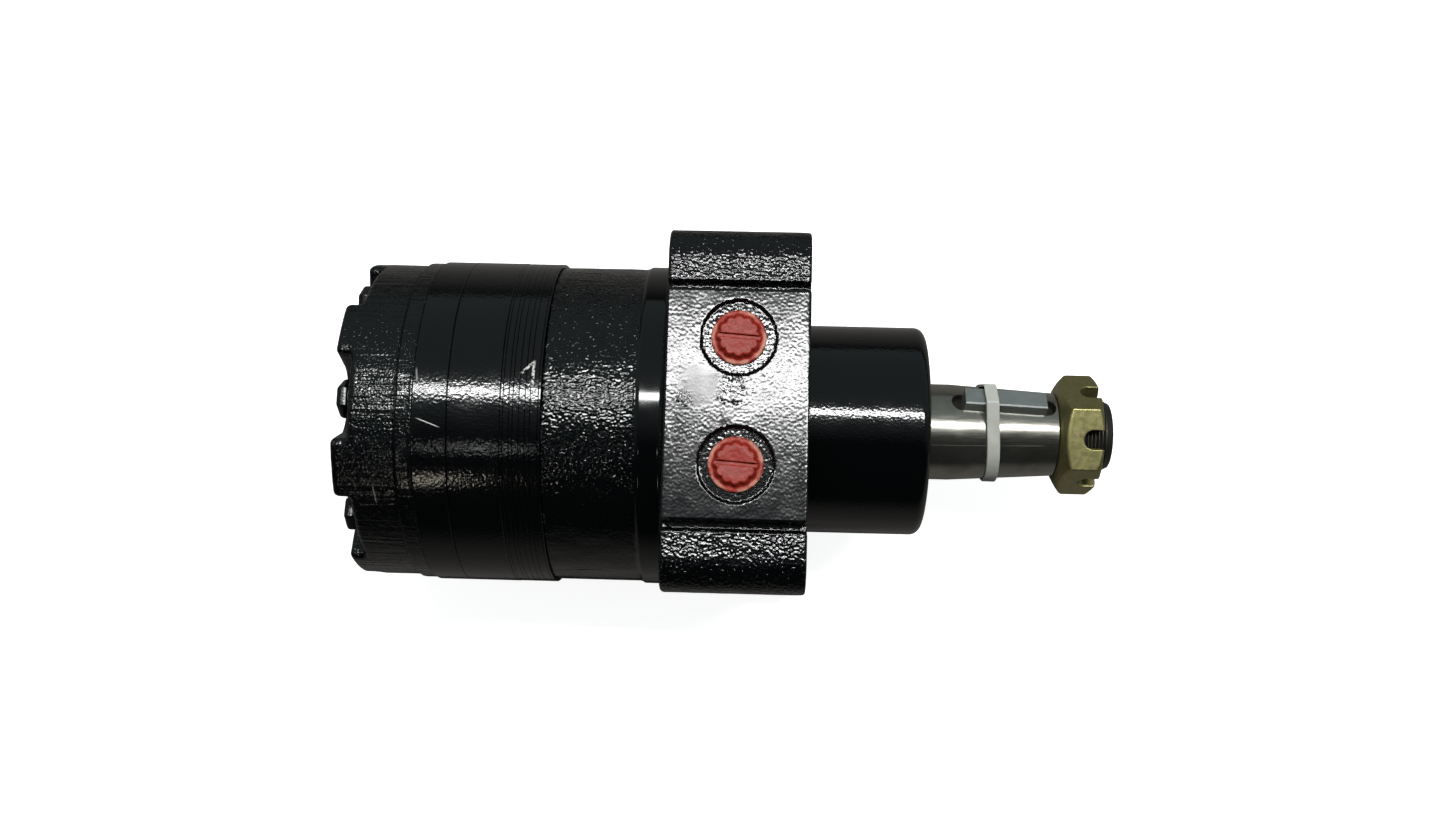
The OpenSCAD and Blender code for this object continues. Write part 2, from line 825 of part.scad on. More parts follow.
module cover_bolt() {
    head_back = pocket_floor - bolt_head_h;
    corner_r = bolt_af / sqrt(3);
    washer_t = 0.5;
    reach = -housing_back + 20;
    translate([0, 0, bolt_circle_d / 2]) {
        intersection() {
            on_x(head_back) cylinder(h = bolt_head_h - washer_t + eps, r = corner_r, $fn = 6);
            turned([
                [0, head_back], [bolt_af / 2 - 0.3, head_back], [corner_r + 0.1, head_back + 1.1],
                [corner_r + 0.1, pocket_floor], [0, pocket_floor]
            ], small_fn);
        }
        on_x(pocket_floor - washer_t) cylinder(h = washer_t, r = bolt_af / 2 - 0.1, $fn = small_fn);
        on_x(pocket_floor - eps) cylinder(h = reach - pocket_floor, r = bolt_d / 2, $fn = small_fn);
    }
}

module cover_bolts() {
    color(black) for (i = [0:rollers - 1]) rotate([-i * pitch_angle, 0, 0]) cover_bolt();
}

// Seals between the stacked pieces ----------------------------------------

module face_seal(back) {
    color(rubber) ring(seal_in_r + seal_w, seal_in_r, back, back + seal_h - seat_gap);
}

module housing_seal() { face_seal(-housing_back + seat_gap / 2); }
module front_stator_seal() { face_seal(stator_front - seal_h + seat_gap / 2); }
module rear_stator_seal() { face_seal(balance_front + seat_gap / 2); }
module cover_seal() { face_seal(cover_front - seal_h + seat_gap / 2); }

// Port plugs ----------------------------------------------------------------

module port_plug(side) {
    seat_z = pad_z - spotface_depth;
    flange_r = 9.9;
    flange_h = 1.7;
    shank_len = 10;
    head_r = 7.3;
    head_h = 2.7;
    flutes = 12;
    flute_r = 1.5;
    slot_w = 1.7;
    slot_depth = 1.4;
    slot_turn = -4;
    color(red_plastic) translate([-port_back, side * port_y, seat_z]) difference() {
        union() {
            rotate_extrude($fn = round_fn) polygon([
                [0, -shank_len], [port_d / 2 - 0.9, -shank_len], [port_d / 2 - 0.15, -shank_len + 1],
                [port_d / 2 - 0.15, 0], [flange_r, 0], [flange_r, flange_h - 0.6],
                [flange_r - 0.9, flange_h], [0, flange_h]
            ]);
            difference() {
                rotate_extrude($fn = round_fn) polygon([
                    [0, 0], [head_r, 0], [head_r, flange_h + head_h - 0.6],
                    [head_r - 0.8, flange_h + head_h], [0, flange_h + head_h]
                ]);
                for (i = [0:flutes - 1]) rotate(i * 360 / flutes)
                    translate([head_r + 0.85, 0, flange_h])
                        cylinder(h = head_h + past, r = flute_r, $fn = 24);
            }
        }
        rotate(slot_turn) translate([-head_r - past, -slot_w / 2, flange_h + head_h - slot_depth])
            cube([2 * (head_r + past), slot_w, slot_depth + past]);
        translate([0, 0, -shank_len - past]) cylinder(h = shank_len + past - 1, r = 6.2, $fn = small_fn);
    }
}

module port_plug_a() { port_plug(1); }
module port_plug_b() { port_plug(-1); }

housing();
dust_seal();
seal_washer();
shaft_seal();
front_bearing_shell();
front_bearing_cage();
front_bearing_rollers();
thrust_race();
thrust_cage();
thrust_rollers();
thrust_washer();
rear_bearing_shell();
rear_bearing_cage();
rear_bearing_rollers();
output_shaft();
shaft_key();
key_tie();
slotted_nut();
drive_link();
link_spacer();
rotor();
stator_ring();
stator_roller_1();
stator_roller_2();
stator_roller_3();
stator_roller_4();
stator_roller_5();
stator_roller_6();
stator_roller_7();
manifold_plate_1();
manifold_plate_2();
manifold_plate_3();
manifold_plate_4();
manifold_plate_5();
manifold_plate_6();
manifold_plate_7();
manifold_plate_8();
balance_plate();
end_cover();
cover_bolts();
housing_seal();
front_stator_seal();
rear_stator_seal();
cover_seal();
port_plug_a();
port_plug_b();
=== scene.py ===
"""Looks of the orbital hydraulic motor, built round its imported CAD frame.

Lengths in the shape functions are millimetres in the row frame: X runs along
the shaft, Z is the normal of the port face, and the origin is where the shaft
axis meets the front face of the flange. A shape function gives the signed
distance from any point to the surface, negative inside, and carved() turns it
into a mesh whose vertices and normals lie exactly on that surface.
"""

import json
import math

import bpy
import numpy as np
import openvdb
from mathutils import Matrix, Vector


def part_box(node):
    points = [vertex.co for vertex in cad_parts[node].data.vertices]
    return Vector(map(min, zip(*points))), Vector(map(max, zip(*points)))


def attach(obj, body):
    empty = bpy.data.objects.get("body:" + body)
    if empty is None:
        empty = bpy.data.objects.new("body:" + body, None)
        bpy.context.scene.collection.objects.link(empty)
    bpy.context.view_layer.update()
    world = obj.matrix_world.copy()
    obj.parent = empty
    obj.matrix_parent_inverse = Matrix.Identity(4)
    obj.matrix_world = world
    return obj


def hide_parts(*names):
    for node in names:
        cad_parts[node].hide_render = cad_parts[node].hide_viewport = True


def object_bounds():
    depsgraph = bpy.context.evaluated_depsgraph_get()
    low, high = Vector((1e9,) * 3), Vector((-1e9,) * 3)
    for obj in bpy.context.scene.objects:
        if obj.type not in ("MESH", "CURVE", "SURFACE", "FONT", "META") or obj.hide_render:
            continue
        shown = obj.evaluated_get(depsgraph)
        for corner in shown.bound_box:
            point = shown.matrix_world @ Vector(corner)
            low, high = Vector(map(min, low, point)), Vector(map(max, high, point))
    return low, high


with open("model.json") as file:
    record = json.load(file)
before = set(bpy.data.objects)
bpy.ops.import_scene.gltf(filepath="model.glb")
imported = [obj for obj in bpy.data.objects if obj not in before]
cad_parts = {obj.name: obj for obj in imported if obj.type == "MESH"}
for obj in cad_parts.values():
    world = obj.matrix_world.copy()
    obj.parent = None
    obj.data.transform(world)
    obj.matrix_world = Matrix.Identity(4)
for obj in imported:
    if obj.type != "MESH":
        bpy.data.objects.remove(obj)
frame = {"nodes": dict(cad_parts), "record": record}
cad_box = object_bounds()
NODES = frame["nodes"]
MM = 0.001


def span(node):
    """Lowest and highest corner of a CAD node, in mm."""
    return tuple(np.array(corner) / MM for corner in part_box(node))


# Camera and studio -------------------------------------------------------

CAMERA_AT = (-16.8, -76.6, 559.2)
VIEW_TILT = math.radians(7.85)       # the motor lies rolled by this much about its own shaft
CAMERA_TURNS = (("Z", 0.024), ("Y", 0.028), ("X", 0.0141))   # radians, after the tilt
FOCAL = 35.0
SENSOR = 36.0
ROOM_TINT = (0.84, 0.98, 1.0, 1)     # colour of the room in reflections
ROOM_FADE = (-0.35, 0.15)            # directions along Y between which the room brightens
ROOM_STRENGTH = (0.015, 0.29)        # its strength below and above those directions
FLOOR_HALF = 4.0                     # metres
FLOOR_SEEN = (0.92, 0.92, 0.92)
FLOOR_REFLECTED = (0.2, 0.19, 0.18)
FLOOR_GLOW = 0.9


def add_camera():
    turn = Matrix.Rotation(VIEW_TILT, 4, "X")
    for axis, angle in CAMERA_TURNS:
        turn = turn @ Matrix.Rotation(angle, 4, axis)
    data = bpy.data.cameras.new("camera")
    data.lens, data.sensor_width, data.sensor_fit = FOCAL, SENSOR, "HORIZONTAL"
    camera = bpy.data.objects.new("camera", data)
    camera.matrix_world = Matrix.Translation(Vector(CAMERA_AT) * MM) @ turn
    bpy.context.scene.collection.objects.link(camera)
    bpy.context.scene.camera = camera


def add_lamp(name, size, x, angle, distance, power, tilt=0.0, colour=(1, 1, 1)):
    """A soft box over the motor and facing it, angle degrees from the view's axis towards +Y."""
    data = bpy.data.lights.new(name, "AREA")
    data.shape = "RECTANGLE"
    data.size, data.size_y = size[0] * MM, size[1] * MM
    data.energy, data.color = power, colour
    lamp = bpy.data.objects.new(name, data)
    turn = Matrix.Rotation(VIEW_TILT - math.radians(angle), 4, "X")
    place = turn @ Matrix.Translation(Vector((x, 0, distance)) * MM)
    lamp.matrix_world = place @ Matrix.Rotation(math.radians(tilt), 4, "Z")
    lamp.visible_camera = False
    bpy.context.scene.collection.objects.link(lamp)


def add_studio():
    add_lamp("key_light", (690, 45), x=52, angle=17.7, distance=560, power=4.0, tilt=-3)
    add_lamp("side_light", (80, 20), x=-246, angle=-18, distance=700, power=0.03)
    add_lamp("low_light", (20, 50), x=-262, angle=-40, distance=560, power=0.045,
             colour=(1.0, 0.92, 0.76))
    add_surroundings()


def add_surroundings():
    """A room that is white to look at, dim and bluish in reflections, and darkest towards -Y."""
    world = bpy.data.worlds.new("studio")
    world.use_nodes = True
    bpy.context.scene.world = world
    tree = world.node_tree
    direction = tree.nodes.new("ShaderNodeTexCoord").outputs["Generated"]
    split = tree.nodes.new("ShaderNodeSeparateXYZ")
    fade = tree.nodes.new("ShaderNodeMapRange")
    seen = tree.nodes.new("ShaderNodeMapRange")
    tint = tree.nodes.new("ShaderNodeMix")
    tint.data_type = "RGBA"
    tint.inputs[6].default_value = ROOM_TINT
    tint.inputs[7].default_value = (1.0, 1.0, 1.0, 1)
    back = tree.nodes["Background"]
    camera_ray = tree.nodes.new("ShaderNodeLightPath").outputs["Is Camera Ray"]
    tree.links.new(direction, split.inputs[0])
    tree.links.new(split.outputs["Y"], fade.inputs[0])
    for socket, value in zip(fade.inputs[1:5], ROOM_FADE + ROOM_STRENGTH):
        socket.default_value = value
    tree.links.new(camera_ray, seen.inputs[0])
    tree.links.new(camera_ray, tint.inputs[0])
    tree.links.new(tint.outputs[2], back.inputs["Color"])
    tree.links.new(fade.outputs[0], seen.inputs[3])
    seen.inputs[4].default_value = 1.0
    tree.links.new(seen.outputs[0], back.inputs["Strength"])


def add_floor():
    side, z = FLOOR_HALF, cad_box[0].z
    mesh = bpy.data.meshes.new("floor")
    corners = [(-side, -side, z), (side, -side, z), (side, side, z), (-side, side, z)]
    mesh.from_pydata(corners, [], [(0, 1, 2, 3)])
    floor = bpy.data.objects.new("floor", mesh)
    bpy.context.scene.collection.objects.link(floor)
    mesh.materials.append(floor_paint())


# Material nodes ----------------------------------------------------------

class Paint:
    """A material being built, with short names for the nodes that it needs."""

    def __init__(self, name, colour, roughness, metallic=0.0, **sockets):
        self.material = bpy.data.materials.new(name)
        self.material.use_nodes = True
        self.tree = self.material.node_tree
        self.shader = self.tree.nodes["Principled BSDF"]
        self.set("Base Color", colour)
        self.set("Roughness", roughness)
        self.set("Metallic", metallic)
        for socket, value in sockets.items():
            self.set(socket.replace("_", " ").title().replace("Ior", "IOR"), value)
        coordinates = self.node("TexCoord")
        self.place = coordinates.outputs["Object"]
        split = self.node("SeparateXYZ", self.place)
        self.x, self.y, self.z = split.outputs

    def put(self, socket, value):
        if isinstance(value, bpy.types.NodeSocket):
            self.tree.links.new(value, socket)
        elif isinstance(value, (tuple, list)) and len(value) == 3 and socket.type == "RGBA":
            socket.default_value = (*value, 1)
        else:
            socket.default_value = value

    def set(self, socket, value):
        self.put(self.shader.inputs[socket], value)

    def node(self, kind, *inputs, **settings):
        made = self.tree.nodes.new("ShaderNode" + kind)
        for name, value in settings.items():
            setattr(made, name, value)
        for socket, value in zip(made.inputs, inputs):
            if value is not None:
                self.put(socket, value)
        return made

    def math(self, operation, *values):
        return self.node("Math", *values, operation=operation).outputs[0]

    def times(self, a, b):
        return self.math("MULTIPLY", a, b)

    def plus(self, a, b):
        return self.math("ADD", a, b)

    def minus(self, a, b):
        return self.math("SUBTRACT", a, b)

    def most(self, a, b):
        return self.math("MAXIMUM", a, b)

    def above(self, a, b):
        return self.math("GREATER_THAN", a, b)

    def absolute(self, a):
        return self.math("ABSOLUTE", a)

    def vector(self, x, y, z):
        return self.node("CombineXYZ", x, y, z).outputs[0]

    def distance(self, point, place):
        """Distance of a point from a place that is given in mm."""
        made = self.node("VectorMath", point, Vector(place) * MM, operation="DISTANCE")
        return made.outputs["Value"]

    def stretched(self, scale):
        """The object's coordinates, scaled along each axis."""
        made = self.node("Mapping", self.place)
        made.inputs["Scale"].default_value = scale
        return made.outputs[0]

    def noise(self, size, detail=2.0, roughness=0.5, place=None):
        """Noise from 0 to 1 with features of that size in mm."""
        made = self.node("TexNoise")
        self.put(made.inputs["Vector"], place or self.place)
        made.inputs["Scale"].default_value = 1 / (size * MM)
        made.inputs["Detail"].default_value = detail
        made.inputs["Roughness"].default_value = roughness
        return made.outputs["Fac"]

    def ramp(self, value, low, high, bottom=0.0, top=1.0):
        """Goes from bottom to top as value goes from low to high, and stays there."""
        made = self.node("MapRange", value, low, high, bottom, top, clamp=True)
        return made.outputs[0]

    def mix(self, share, a, b):
        made = self.node("Mix", data_type="RGBA")
        self.put(made.inputs[0], share)
        self.put(made.inputs[6], a)
        self.put(made.inputs[7], b)
        return made.outputs[2]

    def waxy(self, radius, scale):
        """How far light gets into it: a share for each colour, and a scale in mm."""
        self.set("Subsurface Radius", radius)
        self.set("Subsurface Scale", scale * MM)

    def edges(self, low=0.53, high=0.6):
        """How sharp an edge the surface has here, from 0 to 1."""
        pointiness = self.node("NewGeometry").outputs["Pointiness"]
        return self.ramp(pointiness, low, high)

    def bump(self, *layers):
        """Bump from (height, depth in mm) layers, the last one on top."""
        normal = None
        for height, depth in layers:
            made = self.node("Bump")
            made.inputs["Distance"].default_value = depth * MM
            self.put(made.inputs["Height"], height)
            if normal is not None:
                self.put(made.inputs["Normal"], normal)
            normal = made.outputs[0]
        self.set("Normal", normal)


def floor_paint():
    """White to look at, dim in reflections."""
    paint = Paint("floor_paint", FLOOR_SEEN, 0.9, specular_ior_level=0.0)
    paint.set("Emission Color", (1, 1, 1))
    camera_ray = paint.node("LightPath").outputs["Is Camera Ray"]
    paint.set("Base Color", paint.mix(camera_ray, FLOOR_REFLECTED, FLOOR_SEEN))
    paint.set("Emission Strength", paint.ramp(camera_ray, 0, 1, 0.0, FLOOR_GLOW))
    return paint.material


BLACK = (0.0008, 0.0010, 0.0012)
CHIPPED = (0.13, 0.12, 0.11)
BARE = (0.55, 0.54, 0.52)

# Scratches as start, end and width in mm, seen from +Z.
COVER_SCRAPE = ((-157.9, -31.8), (-157.0, -38.2), 0.3)
RING_MARK = ((-141.4, -8.0), (-132.3, -11.3), 0.22)
RING_SMEAR = ((-142.0, 10.6), (-141.2, 4.6), 0.4)
PLATE_CHIP = (((-104.2, 8.7), (-98.9, 14.0), 0.6), ((-99.4, 14.2), (-99.7, 3.6), 0.65))

# Patches on the pad as x, y, radius and fade in mm.
PAD_SWIRL = (-39.0, 5.4, 7.5, 4.0)
PAD_SCUFFS = ((-28.0, 3.5, 4.0, 3.0), (-44.0, 0.8, 2.2, 2.0))


def worn(paint, amount=0.35):
    """Where the paint has rubbed off edges, in patches."""
    patches = paint.ramp(paint.noise(2.6, 4.0, 0.6), 0.54, 0.62)
    return paint.times(paint.times(paint.edges(), patches), amount)


def scratch(paint, start, end, width):
    """1 on a thin line between two points in (x, y) mm, seen from +Z."""
    along = Vector(end) - Vector(start)
    length = along.length
    u, v = along / length
    dx = paint.minus(paint.x, start[0] * MM)
    dy = paint.minus(paint.y, start[1] * MM)
    run = paint.plus(paint.times(dx, u), paint.times(dy, v))
    off = paint.minus(paint.times(dx, v), paint.times(dy, u))
    line = paint.ramp(paint.absolute(off), width * MM / 2, width * MM, 1.0, 0.0)
    start_fade = paint.ramp(run, 0, length * MM / 4)
    end_fade = paint.ramp(run, length * MM * 0.8, length * MM, 1.0, 0.0)
    inside = paint.times(start_fade, end_fade)
    front = paint.above(paint.z, 0.0)
    return paint.times(paint.times(line, inside), front)


def between(paint, value, low, high, fade):
    """1 where value in mm is between low and high, fading to 0 over fade outside."""
    up = paint.ramp(value, (low - fade) * MM, low * MM)
    down = paint.ramp(value, high * MM, (high + fade) * MM, 1.0, 0.0)
    return paint.times(up, down)


def groove(paint, x, width):
    """Height of a thin groove turned round the shaft axis at x."""
    off = paint.absolute(paint.minus(paint.x, x * MM))
    return paint.ramp(off, width * MM / 4, width * MM / 2)


def pits(paint, size, low=0.57, high=0.66):
    """Height of sparse steep spots of about that size in mm."""
    return paint.ramp(paint.noise(size, 0.0), low, high)


def blob(paint, x, y, radius, fade):
    """1 within radius of a point in (x, y) mm, seen from +Z, with a ragged edge."""
    off = paint.distance(paint.vector(paint.x, paint.y, 0.0), (x, y, 0))
    ragged = paint.plus(off, paint.ramp(paint.noise(3.0, 2.0), 0.2, 0.8, 0.0, radius * MM / 2))
    inside = paint.ramp(ragged, radius * MM, (radius + fade) * MM, 1.0, 0.0)
    return paint.times(inside, paint.above(paint.z, 0.0))


def off_ports(paint):
    """Distance from the axis of the nearer port."""
    return paint.distance(paint.vector(paint.x, paint.absolute(paint.y), 0.0), (*PORT_AT, 0))


def pad_zones(paint):
    """1 on the whole port pad, and 1 in its two recesses."""
    off_middle = paint.absolute(paint.plus(paint.y, CAST_SHIFT * MM))
    within = paint.ramp(off_middle, (PAD_HALF - 0.4) * MM, PAD_HALF * MM, 1.0, 0.0)
    on_pad = paint.times(within, between(paint, paint.x, FLANGE_BACK, 0, 0.4))
    on_pad = paint.times(on_pad, paint.above(paint.z, 40 * MM))
    recess = paint.ramp(off_ports(paint), (SPOTFACE_R - 0.3) * MM, SPOTFACE_R * MM, 1.0, 0.0)
    return on_pad, paint.times(on_pad, recess)


def cast_paint():
    """Gloss black over rough iron, finer on the pad and smooth on the nose and the neck."""
    paint = Paint("cast_paint", BLACK, 0.25, specular_ior_level=0.5)
    on_pad, in_port = pad_zones(paint)
    pad_only = paint.minus(on_pad, in_port)
    turned = paint.ramp(paint.x, 0.0, 0.8 * MM)
    neck = between(paint, paint.x, NECK_BACK - 0.5, FLANGE_BACK - 1.5, 0.5)
    rough = paint.minus(1.0, paint.most(turned, paint.most(neck, on_pad)))
    low_down = paint.ramp(paint.y, -36 * MM, -24 * MM, 0.3, 1.0)
    rough = paint.times(rough, paint.most(low_down, paint.above(paint.x, NECK_BACK * MM)))
    swirl = paint.times(paint.times(blob(paint, *PAD_SWIRL), pad_only), 0.85)
    first, second = (blob(paint, *scuff) for scuff in PAD_SCUFFS)
    scuffed = paint.times(paint.most(first, second), paint.minus(pad_only, swirl))

    grain = paint.times(paint.noise(1.05, 0.0), rough)
    steep = paint.times(pits(paint, 1.25, 0.62, 0.72), rough)
    grained = paint.math("MULTIPLY_ADD", in_port, 1.4, paint.minus(pad_only, swirl))
    leather = paint.times(paint.noise(1.05, 0.0), grained)
    specks = paint.times(pits(paint, 1.25, 0.55, 0.63), in_port)
    scuffs = paint.times(pits(paint, 1.1, 0.53, 0.6), scuffed)
    peel = paint.times(paint.noise(0.9, 0.0), turned)
    paint.bump((peel, 0.042), (grain, 0.30), (steep, 0.12), (leather, 0.05),
               (specks, 0.16), (scuffs, 0.32))

    sheen = paint.ramp(paint.noise(7.0, 3.0), 0.3, 0.7, 0.08, 0.13)
    softer = paint.plus(paint.times(pad_only, 0.05), paint.times(swirl, 0.045))
    paint.set("Base Color", paint.mix(worn(paint), BLACK, CHIPPED))
    paint.set("Roughness", paint.plus(sheen, softer))
    return paint.material


def cover_paint():
    """Gloss black over a pitted cover with fine lines along X and a groove beside its lip."""
    paint = Paint("cover_paint", BLACK, 0.25, specular_ior_level=0.5)
    lines = paint.noise(1.5, 1.0, 0.5, paint.stretched((0.06, 1, 1)))
    grain = paint.noise(0.8, 0.0)
    lip = paint.ramp(paint.x, (LIP_BACK - 0.4) * MM, LIP_BACK * MM, 1.0, 0.6)
    marks = paint.most(worn(paint), scratch(paint, *COVER_SCRAPE))
    paint.set("Base Color", paint.mix(marks, BLACK, CHIPPED))
    paint.set("Roughness", paint.ramp(paint.noise(6.0, 3.0), 0.3, 0.7, 0.1, 0.17))
    paint.bump((paint.times(lines, lip), 0.34), (paint.times(grain, lip), 0.12),
               (pits(paint, 0.9), 0.05), (groove(paint, LIP_BACK, 1.0), 0.4))
    return paint.material


def ring_paint():
    """Gloss black with an orange peel over turned steel, scratched in two places."""
    paint = Paint("ring_paint", BLACK, 0.2, specular_ior_level=0.5)
    peel = paint.noise(1.1, 1.0)
    smear = paint.times(scratch(paint, *RING_SMEAR), 0.3)
    marks = paint.most(scratch(paint, *RING_MARK), smear)
    paint.set("Base Color", paint.mix(marks, BLACK, BARE))
    paint.set("Roughness", paint.ramp(paint.noise(9.0, 4.0), 0.3, 0.7, 0.09, 0.15))
    paint.bump((peel, 0.075))
    return paint.material


def plate_paint():
    """Gloss black over the stacked plates, chipped through in one place."""
    paint = Paint("plate_paint", BLACK, 0.2, specular_ior_level=0.5)
    peel = paint.noise(1.1, 1.0)
    flaked = paint.ramp(paint.noise(1.3, 3.0, 0.6), 0.4, 0.5)
    first, second = (scratch(paint, *stroke) for stroke in PLATE_CHIP)
    chip = paint.times(paint.most(first, second), flaked)
    paint.set("Base Color", paint.mix(chip, BLACK, BARE))
    paint.set("Roughness", paint.ramp(chip, 0, 1, 0.12, 0.5))
    paint.bump((peel, 0.075))
    return paint.material


def bolt_paint():
    """Gloss black over forged heads, rubbed at the edges."""
    paint = Paint("bolt_paint", BLACK, 0.25, specular_ior_level=0.5)
    peel = paint.noise(0.6, 2.0)
    wear = worn(paint, 0.3)
    paint.set("Base Color", paint.mix(wear, BLACK, CHIPPED))
    paint.set("Roughness", paint.ramp(paint.noise(3.0, 3.0), 0.3, 0.7, 0.14, 0.26))
    paint.bump((peel, 0.03))
    return paint.material


TAPER = 1 / 16                          # radius lost for each mm along X
TAPER_CONE_R = 38.1 / 2 + 57.5 * TAPER  # the taper's radius carried back to x = 0
TAPER_RUN = (56, 99)
THREAD_FROM = 98.3
SCRIBED_AT = math.radians(-23.7)        # angle of the scribed line round the shaft
SCRIBED_RUN = (48, 92)


def scribed_line(paint):
    """1 on a thin line along the top of the shaft."""
    off = paint.minus(paint.times(paint.y, math.cos(SCRIBED_AT)),
                      paint.times(paint.z, math.sin(SCRIBED_AT)))
    line = paint.ramp(paint.absolute(off), 0.12 * MM, 0.25 * MM, 1.0, 0.0)
    line = paint.times(line, between(paint, paint.x, *SCRIBED_RUN, 2))
    return paint.times(line, paint.above(paint.z, 0.0))


def shaded_hollows(paint):
    """Painted shade: 1 in the keyway, below the skin of the taper, and 1 on the thread, where the
    steel is darkened.
    """
    radial = paint.vector(0.0, paint.y, paint.z)
    from_axis = paint.node("VectorMath", radial, operation="LENGTH").outputs["Value"]
    from_cone = paint.math("MULTIPLY_ADD", paint.x, TAPER, from_axis)
    below = paint.ramp(from_cone, (TAPER_CONE_R - 0.5) * MM, (TAPER_CONE_R - 0.2) * MM, 1.0, 0.0)
    below = paint.times(below, between(paint, paint.x, *TAPER_RUN, 0.2))
    return paint.most(below, paint.ramp(paint.x, THREAD_FROM * MM, (THREAD_FROM + 0.5) * MM))


def shaft_steel():
    """Ground steel with brown stains, fine lines along X, a scribed line, and painted shade that
    darkens the keyway and the thread.
    """
    paint = Paint("shaft_steel", (0.36, 0.35, 0.31), 0.3, 0.96)
    stain = paint.ramp(paint.noise(9.0, 4.0, 0.6), 0.35, 0.7)
    drawn = paint.noise(0.5, 2.0, 0.6, paint.stretched((0.03, 1, 1)))
    line, painted_shade = scribed_line(paint), shaded_hollows(paint)
    shade = paint.mix(stain, (0.34, 0.335, 0.295), (0.24, 0.228, 0.195))
    shade = paint.mix(line, shade, (0.7, 0.7, 0.66))
    # Painted shade: the keyway and the thread get a dark colour and more roughness, standing in
    # for the shade in them.
    paint.set("Base Color", paint.mix(painted_shade, shade, (0.075, 0.07, 0.062)))
    polish = paint.ramp(drawn, 0.3, 0.7, 0.17, 0.26)
    paint.set("Roughness", paint.math("MULTIPLY_ADD", painted_shade, 0.25, polish))
    paint.bump((drawn, 0.003), (line, 0.02))
    return paint.material


def key_steel():
    """Cold-drawn steel with fine lines along X."""
    paint = Paint("key_steel", (0.40, 0.43, 0.43), 0.42, 1.0)
    drawn = paint.noise(0.4, 2.0, 0.6, paint.stretched((0.03, 1, 1)))
    cloud = paint.ramp(paint.noise(4.0, 3.0), 0.3, 0.7)
    paint.set("Base Color", paint.mix(cloud, (0.40, 0.43, 0.42), (0.46, 0.49, 0.475)))
    paint.set("Roughness", paint.ramp(drawn, 0.3, 0.7, 0.36, 0.5))
    paint.bump((drawn, 0.008))
    return paint.material


def zinc_gold():
    """Yellow passivated zinc with olive and brass patches."""
    paint = Paint("zinc_gold", (0.40, 0.34, 0.14), 0.3, 0.93)
    cloud = paint.ramp(paint.noise(5.0, 4.0, 0.6), 0.35, 0.68)
    spots = paint.ramp(paint.noise(0.9, 3.0, 0.6), 0.56, 0.66)
    shade = paint.mix(cloud, (0.29, 0.285, 0.112), (0.355, 0.313, 0.15))
    shade = paint.mix(spots, shade, (0.27, 0.22, 0.095))
    # Paler on sharp edges: partly rubbed zinc, partly a painted edge highlight.
    shade = paint.mix(paint.times(paint.edges(0.52, 0.6), 0.5), shade, (0.60, 0.55, 0.36))
    paint.set("Base Color", shade)
    paint.set("Roughness", paint.ramp(paint.noise(2.0, 3.0), 0.3, 0.7, 0.32, 0.44))
    paint.bump((paint.noise(0.7, 3.0), 0.012))
    return paint.material


def tie_nylon():
    """Off-white nylon, slightly cloudy."""
    paint = Paint("tie_nylon", (0.45, 0.46, 0.43), 0.38, subsurface_weight=0.2)
    paint.waxy((1.0, 0.9, 0.8), 1.5)
    cloud = paint.ramp(paint.noise(3.0, 3.0), 0.3, 0.7)
    paint.set("Base Color", paint.mix(cloud, (0.39, 0.40, 0.365), (0.43, 0.44, 0.405)))
    paint.set("Roughness", paint.ramp(cloud, 0, 1, 0.32, 0.45))
    paint.bump((paint.noise(0.5, 2.0), 0.01))
    return paint.material


def plug_plastic():
    """Satin brick-red polyethylene, paler on its edges and round the flange's outer ring: painted
    highlights that also stand for rubbing.
    """
    paint = Paint("plug_plastic", (0.24, 0.026, 0.016), 0.42,
                  subsurface_weight=0.12, specular_ior_level=0.24)
    paint.waxy((1.0, 0.3, 0.2), 0.8)
    cloud = paint.ramp(paint.noise(3.0, 4.0, 0.6), 0.35, 0.7)
    # Paler on sharp edges: a painted highlight, also standing for rubbing.
    rubbed_and_highlit_edges = paint.times(paint.edges(0.52, 0.62), paint.ramp(paint.noise(1.2, 3.0), 0.4, 0.6))
    shade = paint.mix(cloud, (0.20, 0.013, 0.007), (0.26, 0.022, 0.012))
    shade = paint.mix(rubbed_and_highlit_edges, shade, (0.36, 0.09, 0.06))
    # Paler round the flange's outer ring: a painted highlight, also standing for rubbing.
    rim_rubbed_and_highlit = paint.ramp(off_ports(paint), 8.2 * MM, 9.6 * MM)
    rim_rubbed_and_highlit = paint.times(rim_rubbed_and_highlit, paint.ramp(paint.noise(4.0, 2.0), 0.4, 0.6))
    paint.set("Base Color", paint.mix(rim_rubbed_and_highlit, shade, (0.50, 0.22, 0.15)))
    paint.set("Roughness", paint.ramp(paint.noise(0.8, 3.0), 0.3, 0.7, 0.34, 0.52))
    paint.bump((paint.noise(3.2, 1.0), 0.45), (paint.noise(0.6, 3.0), 0.02))
    return paint.material


def rubber():
    paint = Paint("rubber", (0.02, 0.02, 0.02), 0.55)
    cloud = paint.noise(2.0, 3.0)
    paint.set("Base Color", paint.mix(cloud, (0.015, 0.015, 0.015), (0.03, 0.03, 0.03)))
    paint.set("Roughness", paint.ramp(cloud, 0.3, 0.7, 0.45, 0.65))
    paint.bump((paint.noise(0.4, 2.0), 0.01))
    return paint.material


def plain_steel(name, dark, light):
    """Ground steel between two shades, with a fine grain."""
    paint = Paint(name, light, 0.3, 1.0)
    cloud = paint.ramp(paint.noise(4.0, 3.0), 0.3, 0.7)
    grain = paint.noise(0.4, 2.0)
    paint.set("Base Color", paint.mix(cloud, dark, light))
    paint.set("Roughness", paint.ramp(grain, 0.3, 0.7, 0.2, 0.36))
    paint.bump((grain, 0.005))
    return paint.material


# Shape functions ---------------------------------------------------------

